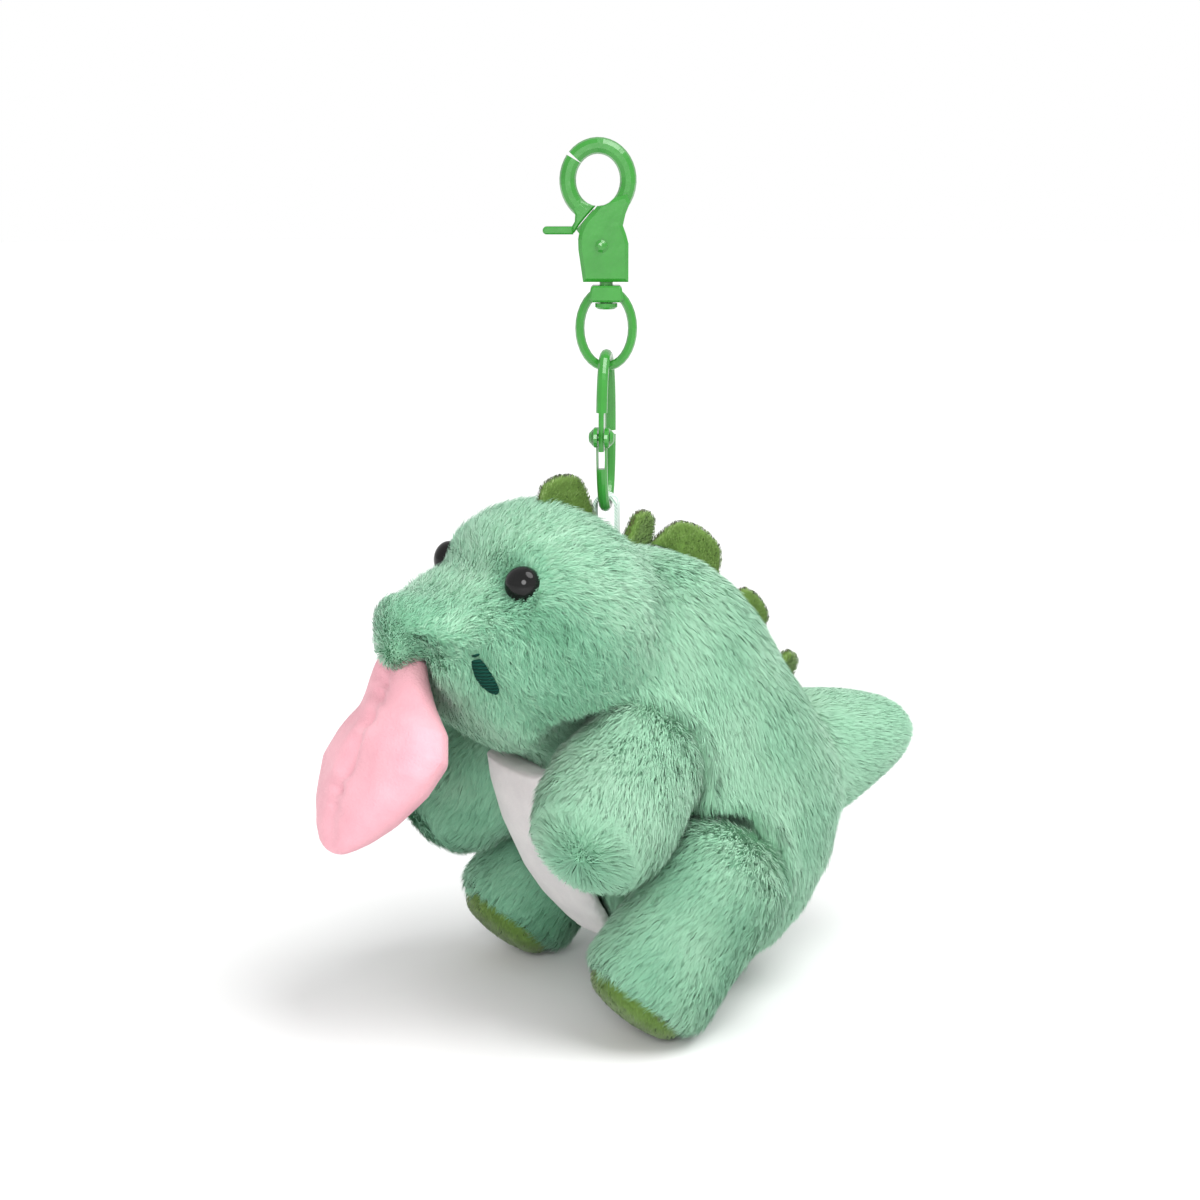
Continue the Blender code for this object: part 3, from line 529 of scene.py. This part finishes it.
def pile_mesh(name, verts, facing, coords, material, body):
    """Blades as one mesh, with their soft shading normals and their shade coordinates."""
    count = len(verts)
    mesh = bpy.data.meshes.new(name)
    mesh.vertices.add(count * 5)
    mesh.vertices.foreach_set("co", (verts * 0.001).astype(np.float32).ravel())
    faces = (np.arange(count)[:, None, None] * 5 + BLADE[None]).reshape(-1, 3)
    mesh.loops.add(faces.size)
    mesh.loops.foreach_set("vertex_index", faces.astype(np.int32).ravel())
    mesh.polygons.add(len(faces))
    mesh.polygons.foreach_set("loop_start", np.arange(0, faces.size, 3, dtype=np.int32))
    layer = mesh.uv_layers.new(name="OFBake")
    layer.uv.foreach_set("vector", coords.reshape(-1, 2)[faces.ravel()].astype(np.float32).ravel())
    mesh.update()
    item = link(name, mesh, material)
    custom = mesh.attributes.new("custom_normal", "FLOAT_VECTOR", "POINT")
    custom.data.foreach_set("vector", facing.astype(np.float32).ravel())
    mesh.update()
    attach(item, body)
    return item


def grow(name, item, body, look, comb, pile, seed, shade, rough, keep=None, trim=None,
         split_axis=2):
    """Grow a pile on a skin, in pieces of at most STRANDS_PER_PIECE along split_axis.

    comb, shade and trim are functions of points and normals, keep is one of the random numbers too,
    and rough is a number or a function of points.
    """
    rng = np.random.default_rng(seed)
    spots, normals = scatter(item, pile.density, rng)
    if keep is not None:
        kept = keep(spots, normals, rng)
        spots, normals = spots[kept], normals[kept]
    tone = shade(spots, normals)
    reach = np.full(len(spots), pile.length)
    if trim is not None:
        reach = reach * trim(spots, normals)
    mess = rough(spots) if callable(rough) else rough
    blades = strands(spots, normals, comb(spots, normals), reach, pile, rng, tone, seed, mess)
    order = np.argsort(spots[:, split_axis])
    parts = max(1, math.ceil(len(order) / STRANDS_PER_PIECE))
    for number, chosen in enumerate(np.array_split(order, parts)):
        label = name if parts == 1 else f"{name}_{number + 1}"
        made = pile_mesh(label, *(values[chosen] for values in blades), look, body)


def constant(x, y, z):
    return lambda spots, normals: np.tile(np.array([x, y, z], float), (len(spots), 1))


# ---------------------------------------------------------------- stuffed pieces
def away_from_eyes(spots):
    """Points clear of the eyes."""
    clear = np.ones(len(spots), bool)
    for side, _ in SIDES:
        aim = unit(mirrored(EYE_DIRECTION, side))
        offset = spots - mirrored(EYE_AT, side)
        depth = offset @ aim
        radius = np.linalg.norm(offset - depth[:, None] * aim, axis=1)
        clear &= ~((radius < EYE_CLEARING[0]) & (depth > -EYE_CLEARING[1]))
    return clear


def hidden_by(trees, reach):
    """A keep function: drops most strands whose skin is covered by a neighbour."""
    def keep(spots, normals, rng):
        kept = np.ones(len(spots), bool)
        for tree, share in trees:
            covered = inside(tree, spots + normals * reach)
            kept &= ~covered | (rng.random(len(spots)) < share)
        return kept
    return keep


def head_comb(spots, normals):
    """Blend the guides by their distance from each point."""
    flow = np.zeros_like(spots)
    for side, _ in SIDES:
        for place, direction in HEAD_GUIDES:
            distance = np.linalg.norm(spots - mirrored(place, side), axis=1)
            flow += unit(mirrored(direction, side)) / (distance[:, None] ** 3 + 5.0)
    return flow


def path_distance(points, path):
    """How far each point lies from a path of straight runs."""
    corners = np.array(path, float)
    nearest = np.full(len(points), 1e9)
    for a, b in zip(corners, corners[1:]):
        t = np.clip(((points - a) @ (b - a)) / ((b - a) @ (b - a)), 0, 1)
        nearest = np.minimum(nearest, np.linalg.norm(points - (a + t[:, None] * (b - a)), axis=1))
    return nearest


def fold_distance(points, path):
    """How far points of an inset skin lie from a fold on the CAD surface, or from its mirror image."""
    nearest = np.minimum(path_distance(points, path), path_distance(points, mirrored(path, -1)))
    return np.maximum(nearest - FUR_INSET, 0)


def pressed(item, folds, pushes):
    """Press folds into a skin along their paths on both sides, and push parts of it out."""
    flank = 1.2
    points, normals, _ = mesh_arrays(item)
    moved = points.copy()
    for path, depth, width in folds:
        dent = depth * np.exp(-(fold_distance(points, path) / (width + flank)) ** 2)
        moved -= normals * dent[:, None]
    for place, shift, reach in pushes:
        near = np.exp(-(np.linalg.norm(points - np.array(place), axis=1) / reach) ** 2)
        moved += near[:, None] * np.array(shift)
    move_points(item, moved)


def plump(item, trees, fade=3.0):
    """Fill a skin out towards the neighbours it touches; the swelling fades away from them."""
    points, normals, _ = mesh_arrays(item)
    gaps = np.full(len(points), 1e3)
    margin = PLUMP_REACH + fade
    for tree, low, high in trees:
        close = np.flatnonzero(((points > low - margin) & (points < high + margin)).all(axis=1))
        found = [tree.find_nearest(Vector(points[i] * 0.001))[3] * 1000 for i in close]
        gaps[close] = np.minimum(gaps[close], found)
    swell = PLUMP * np.clip((margin - gaps) / fade, 0, 1)
    move_points(item, points + normals * swell[:, None])


def patches_and_top_light(seed, base=0.5, size=9.0, depth=0.14):
    """Tone: soft patches, and painted light that makes the skin lighter where it faces up."""
    def tone(spots, normals):
        # painted light: the upward part of the normal lightens the tops
        return base + depth * waves(spots, size, seed) + 0.10 * normals[:, 2]
    return tone


def declare(item, body, sources):
    """Attach a stuffed piece to the body it rides on, and hide the CAD solids it stands for and is made
    of.
    """
    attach(item, body)
    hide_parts(*sources)


def furry(name, comb, seed, shade, neighbours, shift=(0, 0, 0)):
    """A limb with long fur.  Neighbours are (surfaces, share of the covered strands kept, fade)."""
    item = skin(f"{name}_skin", (name,), looks["under_fur"], FUR_INSET, FUR_VOXEL, FUR_SMOOTHING)
    move_points(item, mesh_arrays(item)[0] + np.array(shift))
    for trees, _, fade in neighbours:
        plump(item, trees, fade)
    declare(item, f"{name}_body", (name,))
    keep = hidden_by([(trees, share) for trees, share, _ in neighbours], 1.2)
    grow(f"{name}_fur", item, f"{name}_body", looks["fur"], comb, FUR_PILE, seed, shade,
         LIMB_MESS, keep=keep)


def cloth(name, source, body, look, shape, inset=VELOUR_INSET, voxel=VELOUR_VOXEL):
    """A padded piece of cloth, shaped by a function of its skin."""
    item = skin(f"{name}_cloth", (source,), looks[look], inset, voxel, VELOUR_SMOOTHING)
    shape(item)
    declare(item, body, (source,))
    return item


def head_keep(spots):
    """Points clear of the eyes and of the embroidered corners of the mouth."""
    clear = away_from_eyes(spots)
    top, low = np.array(CORNER_TOP), np.array(CORNER_LOW)
    above = top + unit(top - low) * 1.6
    for side, _ in SIDES:
        clear &= path_distance(spots, mirrored([above, low], side)) > CORNER_CLEARING
    return clear


def clear_of_spikes(spots):
    """Points with room for the spikes that stand up through the fur."""
    clear = np.ones(len(spots), bool)
    for number in SPIKES:
        low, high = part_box(f"spike_{number}")
        middle = np.array((low + high) / 2 * 1000)
        half = np.array((high - low) / 2 * 1000)
        offset = np.abs(spots - middle) - half
        clear &= ~(offset.max(axis=1) < SPIKE_CLEARING)
    return clear


def closeness(spots):
    """How much the head, the trunk and the tail each rule a point, from how near their surfaces are."""
    weights = []
    for name in BODY_PARTS:
        tree = surface_of(name)[0][0]
        gaps = np.array([tree.find_nearest(Vector(spot))[3] for spot in spots * 0.001]) * 1000
        weights.append(1 / (gaps + BLEND_GAP) ** BLEND_POWER)
    weights = np.array(weights)
    return weights / weights.sum(axis=0)


def body_comb(spots, normals):
    """Down the trunk, back along the tail, and by the guides on the head."""
    head, trunk, tail = closeness(spots)[:, :, None]
    down = np.array([0, 0.15, -1.0])
    back = np.array([0, 1.0, -0.3])
    return head * unit(head_comb(spots, normals)) + trunk * down + tail * back


def body_mess(spots):
    head, trunk, tail = closeness(spots)
    return HEAD_MESS * head + TRUNK_MESS * trunk + TAIL_MESS * tail


def body_shade(spots, normals):
    """Soft patches with painted light on the tops, darker in the listed places, and painted shade along
    the folds of the head.
    """
    tone = patches_and_top_light(61, size=11.0, depth=0.10)(spots, normals)
    for place, drop, reach in SHADE_AND_TONE_PLACES:
        for side, _ in SIDES:
            gap = np.linalg.norm(spots - mirrored(place, side), axis=1)
            tone -= drop * np.exp(-(gap / reach) ** 2)
    # painted shade in the creases of the folds
    for path, depth, _ in HEAD_FOLDS:
        tone -= FOLD_SHADE * depth * np.exp(-(fold_distance(spots, path) / FOLD_SHADE_REACH) ** 2)
    return tone


def body_trim(spots, normals):
    """Shorter fur on the snout, round the eyes, along the back and on the tail."""
    snout = np.clip((SNOUT_FROM_Y - spots[:, 1]) / SNOUT_FADE, 0, 1) * (spots[:, 2] > SNOUT_LOW_Z)
    short = 1 - SNOUT_TRIM * snout
    short *= 1 - BACK_TRIM * np.exp(-(path_distance(spots, BACK_FOLD[0]) / BACK_TRIM_REACH) ** 2)
    short *= 1 - TAIL_TRIM * closeness(spots)[2]
    for side, _ in SIDES:
        gap = np.linalg.norm(spots - mirrored(EYE_AT, side), axis=1)
        short *= 1 - EYE_TRIM * np.exp(-(gap / EYE_TRIM_REACH) ** 4)
    return short


def arm_whorl(side):
    return mirrored(ARM_WHORL, side) - np.array([0, 0, 0 if side > 0 else RIGHT_ARM_DROP])


def arm_shade(side, seed):
    """Darker in the whorl; the right arm gets painted shade, as it lies in the shade of the head."""
    # the right arm's lower base is painted shade
    even = patches_and_top_light(seed, base=0.55 if side > 0 else 0.32)

    def tone(spots, normals):
        near = np.exp(-(np.linalg.norm(spots - arm_whorl(side), axis=1) / 5.5) ** 2)
        return even(spots, normals) - 0.42 * near
    return tone


def arm_comb(side):
    """Down the arm, and outwards from the whorl."""
    def comb(spots, normals):
        offset = spots - arm_whorl(side)
        distance = np.linalg.norm(offset, axis=1)
        near = np.clip(1.7 - distance / 9.0, 0, 1)[:, None]
        down = np.array([side * 0.1, -0.5, -0.85])
        return down * (1 - near) + unit(offset) * near * 1.5
    return comb


def spike_shade(axis):
    """Brown on the rim, with a pale band inside it."""
    def tone(spots, normals):
        flat = np.abs(normals @ axis)
        streaks = 0.12 * waves(spots, 1.2, 5)
        band = np.exp(-((flat - 0.72) / 0.22) ** 2)
        inner = 0.42 + 0.40 * band + streaks
        return np.where(flat < 0.30, 0.03, inner)
    return tone


def eye_stuffing():
    """Spheres that fill the head behind the eyes, where the CAD solid has pockets."""
    made = []
    for side, _ in SIDES:
        place = mirrored(EYE_AT, side) - EYE_STUFFING_BACK * unit(mirrored(EYE_DIRECTION, side))
        made.append((tuple(place), (EYE_STUFFING_R,) * 3))
    return made


def body_piece(limbs):
    """Head, trunk and tail as one skin and one fur."""
    item = skin("body_skin", BODY_PARTS, looks["under_fur"], FUR_INSET, FUR_VOXEL, BODY_SMOOTHING,
                stuffing=SNOUT_STUFFING + eye_stuffing())
    pressed(item, HEAD_FOLDS + [BACK_FOLD], HEAD_PUSHES)
    plump(item, limbs)
    declare(item, "plush", BODY_PARTS)
    belly, tongue = surface_of("belly_panel"), surface_of("tongue")
    hidden = hidden_by([(limbs, 0.6), (belly, 0.0), (tongue, 0.0)], 1.0)

    def keep(spots, normals, rng):
        return hidden(spots, normals, rng) & head_keep(spots) & clear_of_spikes(spots)

    grow("body_fur", item, "plush", looks["fur"], body_comb, FUR_PILE, 11, body_shade,
         body_mess, keep=keep, trim=body_trim, split_axis=1)


def stuffed_animal():
    trunk, head = surface_of("trunk"), surface_of("head")
    soles = surface_of("sole_left", "sole_right")
    body_piece(surface_of("arm_left", "arm_right", "leg_left", "leg_right"))
    for side, word in SIDES:
        arm, leg, sole = f"arm_{word}", f"leg_{word}", f"sole_{word}"
        furry(arm, arm_comb(side), 20 + side, arm_shade(side, 70 + side),
              [(trunk, 0.5, 3.0), (head, 0.5, 3.0)], shift=ARM_SHIFTS[side])
        # the right leg's lower base is painted shade
        shade = patches_and_top_light(80 + side, base=0.44 if side > 0 else 0.20)
        furry(leg, constant(0, -0.75, -0.66), 30 + side, shade, [(trunk, 0.5, 3.0), (soles, 0.0, 12.0)])
        item = cloth(sole, sole, f"{leg}_body", "olive", sole_shape(side))
        grow(f"{sole}_pile", item, f"{leg}_body", looks["olive_pile"],
             constant(0, -0.3, -1), VELOUR_PILE, 40 + side, patches_and_top_light(90 + side, size=5.0, depth=0.1),
             SOLE_MESS)
    cloth("tongue", "tongue", "tongue_body", "pink", tongue_shape)
    cloth("belly", "belly_panel", "plush", "white", belly_shape)
    for number, (y, z, tilt, yaw) in SPIKES.items():
        name = f"spike_{number}"
        axis = np.array([math.cos(math.radians(yaw)), math.sin(math.radians(yaw)), 0.0])
        item = cloth(name, name, "plush", "olive",
                     spike_shape(np.array([0, y, z]), math.radians(tilt), axis),
                     inset=SPIKE_INSET, voxel=SPIKE_VOXEL)
        grow(f"{name}_pile", item, "plush", looks["olive_pile"], constant(0, 0.2, 1),
             SPIKE_PILE, 60 + number, spike_shade(axis), SPIKE_MESS)


def spike_shape(base, tilt, axis):
    """Spread a spike a little and sink its root into the fur."""
    def shape(item):
        points, _, _ = mesh_arrays(item)
        up = np.array([0, -math.sin(tilt), math.cos(tilt)])
        offset = points - base
        offset += (SPIKE_SPREAD - 1) * (offset - (offset @ axis)[:, None] * axis)
        height = offset @ up
        sink = SPIKE_SINK * np.clip(2 - 2.5 * height / height.max(), 0, 1)
        move_points(item, base + offset - up * sink[:, None])
    return shape


def sole_shape(side):
    """Stuffing pushes a sole out past the fur round it."""
    def shape(item):
        points, normals, _ = mesh_arrays(item)
        down = -unit(mirrored(LEG_AXIS, side))
        low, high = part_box("sole_left" if side > 0 else "sole_right")
        offset = points - np.array((low + high) / 2 * 1000)
        radius = np.linalg.norm(offset - (offset @ down)[:, None] * down, axis=1)
        puff = SOLE_PUFF * (1 - (radius / SOLE_R).clip(0, 1) ** 2) * np.clip(normals @ down, 0, 1)
        move_points(item, points + puff[:, None] * down)
    return shape


def belly_shape(item):
    """Stuffing pushes the belly out between the arms."""
    points, normals, _ = mesh_arrays(item)
    low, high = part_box("belly_panel")
    middle = np.array((low + high) / 2 * 1000)
    half = np.array((high - low) / 2 * 1000)
    across = 1 - (np.abs(points[:, 0] - middle[0]) / half[0]).clip(0, 1) ** 4
    front = np.clip(-normals[:, 1] * 0.9 - normals[:, 2] * 0.4, 0, 1)
    front = front * (points[:, 1] < middle[1] + half[1])
    moved = points - np.array([0, 0.9, 0.35]) * (BELLY_PUFF * across * front)[:, None]
    moved[:, 0] *= BELLY_SPREAD
    move_points(item, moved)


def tongue_shape(item):
    """A stitched crease down the front of the tongue, with puckers across it and a tilted lower edge."""
    points, normals, _ = mesh_arrays(item)
    low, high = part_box("tongue")
    up = unit(np.array([0.0, 0.4, 0.92]))
    back = np.array([0.0, up[2], -up[1]])
    s = (points - np.array((low + high) / 2 * 1000)) @ up     # height along the tongue
    x = points[:, 0] + 0.2 * s                                # distance from the crease
    front = np.clip(-(normals @ back), 0, 1)
    middle = np.exp(-(s / 13.0) ** 4)
    crease = (0.5 + 0.7 * middle) * np.exp(-(x / 2.2) ** 2)
    wander = 1.4 * waves(points, 11.0, 8) + s / 3.1
    pucker = 0.65 * middle * np.cos(2 * math.pi * wander / 1.7) * np.exp(-((x + 1.0) / 4.2) ** 2)
    dents = 0.35 * waves(points, 6.0, 9)
    points = points - normals * (front * (crease + pucker + dents))[:, None]
    points[:, 0] *= TONGUE_SPREAD
    points[:, 2] += 0.07 * points[:, 0] * np.clip((12 - s) / 6, 0, 1)
    points[:, 2] += 0.004 * np.maximum(points[:, 0], 0) ** 2 * np.clip((2 - s) / 8, 0, 1)
    move_points(item, points)


def stitch(bm, middle, across, run, out, half):
    """One satin stitch: a thread that lies across the band and dips at both ends."""
    rings = []
    for f, size in ((-1, 0.12), (-0.8, 0.24), (0, 0.30), (0.8, 0.24), (1, 0.12)):
        centre = middle + across * (f * half) - out * (0.5 * f * f)
        points = [(centre + size * (run * math.cos(q) + out * math.sin(q))) * 0.001
                  for q in np.linspace(0, 2 * math.pi, 6, False)]
        rings.append([bm.verts.new(Vector(tuple(point))) for point in points])
    for lower, upper in zip(rings, rings[1:]):
        for k in range(6):
            bm.faces.new((lower[k], lower[(k + 1) % 6], upper[(k + 1) % 6], upper[k]))
    bm.faces.new(rings[0][::-1])
    bm.faces.new(rings[-1])


def place_detail(name, bm, look, source):
    """Make a small hard or sewn piece of the head that stands for one CAD node."""
    bmesh.ops.recalc_face_normals(bm, faces=bm.faces)
    mesh = bpy.data.meshes.new(name)
    bm.to_mesh(mesh)
    bm.free()
    item = link(name, mesh, looks[look])
    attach(item, "plush")
    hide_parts(source)
    return mesh


def mouth_corners():
    """Satin stitches side by side along each corner of the mouth."""
    points, normals, _ = mesh_arrays(bpy.data.objects["body_skin"])
    for side, word in SIDES:
        bm = bmesh.new()
        a, b = mirrored(CORNER_TOP, side), mirrored(CORNER_LOW, side)
        run = unit(b - a)
        for i in range(STITCHES):
            t = (i + 0.5) / STITCHES
            spot = a + (b - a) * t
            near = np.argmin(np.linalg.norm(points - spot, axis=1))
            out = normals[near]
            middle = spot - out * ((spot - points[near]) @ out) + out * STITCH_LIFT
            across = unit(np.cross(out, run) + 0.18 * run)
            half = CORNER_WIDTH / 2 * math.sqrt(max(0.0, math.sin(math.pi * (0.06 + 0.9 * t))))
            stitch(bm, middle, across, run, out, half)
        place_detail(f"mouth_stitches_{word}", bm, "thread", f"mouth_corner_{word}")


def eyes():
    """Finer domes in place of the CAD eyes."""
    profile = [(0.0, -7.0), (1.0, -7.0), (1.0, -0.9), (EYE_R - 0.15, -0.9), (EYE_R, -0.6)]
    profile += [(EYE_R * math.cos(a), 0.1 + 2.8 * math.sin(a)) for a in np.linspace(0.0, 1.45, 14)]
    profile += [(0.0, 2.9)]
    for side, word in SIDES:
        bm = bmesh.new()
        rings = []
        for radius, height in profile:
            if radius == 0:
                rings.append([bm.verts.new(vec(0, 0, height))])
                continue
            rings.append([bm.verts.new(vec(radius * math.cos(t), radius * math.sin(t), height))
                          for t in np.linspace(0, 2 * math.pi, EYE_SIDES, endpoint=False)])
        for lower, upper in zip(rings, rings[1:]):
            for i in range(EYE_SIDES):
                j = (i + 1) % EYE_SIDES
                loop = [lower[i % len(lower)], lower[j % len(lower)], upper[j % len(upper)],
                        upper[i % len(upper)]]
                bm.faces.new(list(dict.fromkeys(loop)))
        direction = Vector(tuple(mirrored(EYE_DIRECTION, side)))
        aim = Vector((0, 0, 1)).rotation_difference(direction).to_matrix().to_4x4()
        aim.translation = vec(*mirrored(EYE_AT, side)) + direction * mm(EYE_PROUD)
        bm.transform(aim)
        mesh = place_detail(f"eye_{word}_dome", bm, "black", f"eye_{word}")
        mesh.set_sharp_from_angle(angle=math.radians(40))


def hardware():
    """The clasp, the swivel, the clip, the loop and the washers keep their CAD shapes."""
    for name in ("clasp_body", "clasp_lever", "clasp_rivet", "swivel_post", "swivel_ring", "clip_upper",
                 "clip_lower", "clip_pin"):
        wear(NODES[name].data, looks["paint"])
    # The eye washers wear painted shade.
    for name, look in (("clasp_spring", "steel"), ("hang_loop", "ribbon"), ("eye_washer_left", "washer"),
                       ("eye_washer_right", "washer")):
        wear(NODES[name].data, looks[look])


# ---------------------------------------------------------------- studio
def aimed(name, data, heading, axis="-Z"):
    """Add a camera or a light with one of its own axes turned to a heading."""
    item = bpy.data.objects.new(name, data)
    bpy.context.scene.collection.objects.link(item)
    item.rotation_mode = "QUATERNION"
    item.rotation_quaternion = heading.to_track_quat(axis, "Y")
    return item


def camera():
    """From the toy's front left, a little above."""
    azimuth, elevation = math.radians(CAMERA_AZIMUTH), math.radians(CAMERA_ELEVATION)
    back = Vector((math.sin(azimuth) * math.cos(elevation), -math.cos(azimuth) * math.cos(elevation),
                   math.sin(elevation)))
    data = bpy.data.cameras.new("camera")
    data.sensor_fit = "HORIZONTAL"
    data.sensor_width = 36.0
    data.lens = CAMERA_LENS
    data.clip_start = 0.02
    item = aimed("camera", data, -back)
    item.location = Vector(CAMERA_TARGET) + back * CAMERA_DISTANCE
    bpy.context.scene.camera = item


def floor():
    floor_z = cad_low.z - mm(FLOOR_DROP)
    bpy.ops.mesh.primitive_circle_add(vertices=96, radius=FLOOR_RADIUS, fill_type="NGON",
                                      location=(0, 0, floor_z))
    item = bpy.context.object
    item.name = "floor"
    item.data.materials.append(mottled("floor_look", 0.9, (0.84,) * 3, (0.86,) * 3, 3.0,
                                       Specular_IOR_Level=0.1))


def sky():
    """White where the camera sees it, a little dimmer where it lights the toy."""
    world = bpy.data.worlds.new("studio")
    world.use_nodes = True
    tree = world.node_tree
    path = tree.nodes.new("ShaderNodeLightPath")
    bright = node(tree, "ShaderNodeMapRange", **{"To Min": WORLD_LIGHT, "To Max": 1.0})
    tree.links.new(path.outputs["Is Camera Ray"], bright.inputs["Value"])
    background = tree.nodes["Background"]
    background.inputs["Color"].default_value = (1, 1, 1, 1)
    tree.links.new(bright.outputs["Result"], background.inputs["Strength"])
    bpy.context.scene.world = world


def studio():
    floor()
    sky()
    sun = bpy.data.lights.new("key", "SUN")
    sun.angle = math.radians(SUN_ANGLE)
    sun.energy = SUN_POWER
    aimed("key", sun, Vector(SUN_FROM), "Z")
    fill = bpy.data.lights.new("fill", "AREA")
    fill.shape = "DISK"
    fill.size = FILL_SIZE
    fill.energy = FILL_WATTS
    aimed("fill", fill, Vector((0, 0, -0.1)) - Vector(FILL_FROM)).location = FILL_FROM
    bpy.context.scene.view_settings.view_transform = "Standard"


def make_looks():
    fur_stops = [(0.0, FUR_DEEP), (0.25, FUR_LOW), (0.5, FUR_MID), (0.75, FUR_HIGH), (1.0, FUR_PALE)]
    dark_olive = tuple(c * 0.55 for c in OLIVE)
    olive_stops = [(0.0, BROWN), (0.12, dark_olive), (0.5, OLIVE), (1.0, OLIVE_PALE)]
    return {
        "fur": pile_material("mint_fur_look", fur_stops, 0.93),
        "under_fur": cloth_material("fur_backing_look", FUR_LOW, FUR_MID, 700.0, sheen=0.05),
        "olive": cloth_material("olive_velour_look", dark_olive, OLIVE),
        "olive_pile": pile_material("olive_pile_look", olive_stops, 0.7),
        "pink": cloth_material("pink_velour_look", PINK, PINK_PALE, 2000.0, sheen=0.15, depth=0.00016),
        "white": cloth_material("white_velour_look", WHITE_LOW, WHITE, 1400.0, sheen=0.2,
                                depth=0.00008),
        "paint": paint_material(),
        "steel": mottled("steel_look", 0.3, (0.45, 0.45, 0.47), (0.62, 0.62, 0.64), 500.0, metallic=1.0),
        "black": mottled("black_plastic_look", 0.08, (0.006,) * 3, (0.012,) * 3, 300.0,
                         Specular_IOR_Level=0.25),
        # Painted shade: the eye washers are dark so that they read as the shadow round the sunk eyes.
        "washer": mottled("washer_painted_shade_look", 0.5, (0.02, 0.05, 0.035), (0.03, 0.06, 0.045), 300.0),
        "ribbon": woven("ribbon_look", 900.0, 0.4, "DIAGONAL",
                        [(0.2, (0.50, 0.66, 0.58)), (0.8, (0.74, 0.86, 0.80))], 0.0001, Sheen_Weight=0.3),
        "thread": woven("thread_look", 520.0, 0.8, "Z", [(0.1, (0.003, 0.03, 0.02)), (0.8, THREAD)],
                        0.0002, Specular_IOR_Level=0.12),
    }


looks = make_looks()
camera()
studio()
stuffed_animal()
eyes()
mouth_corners()
hardware()
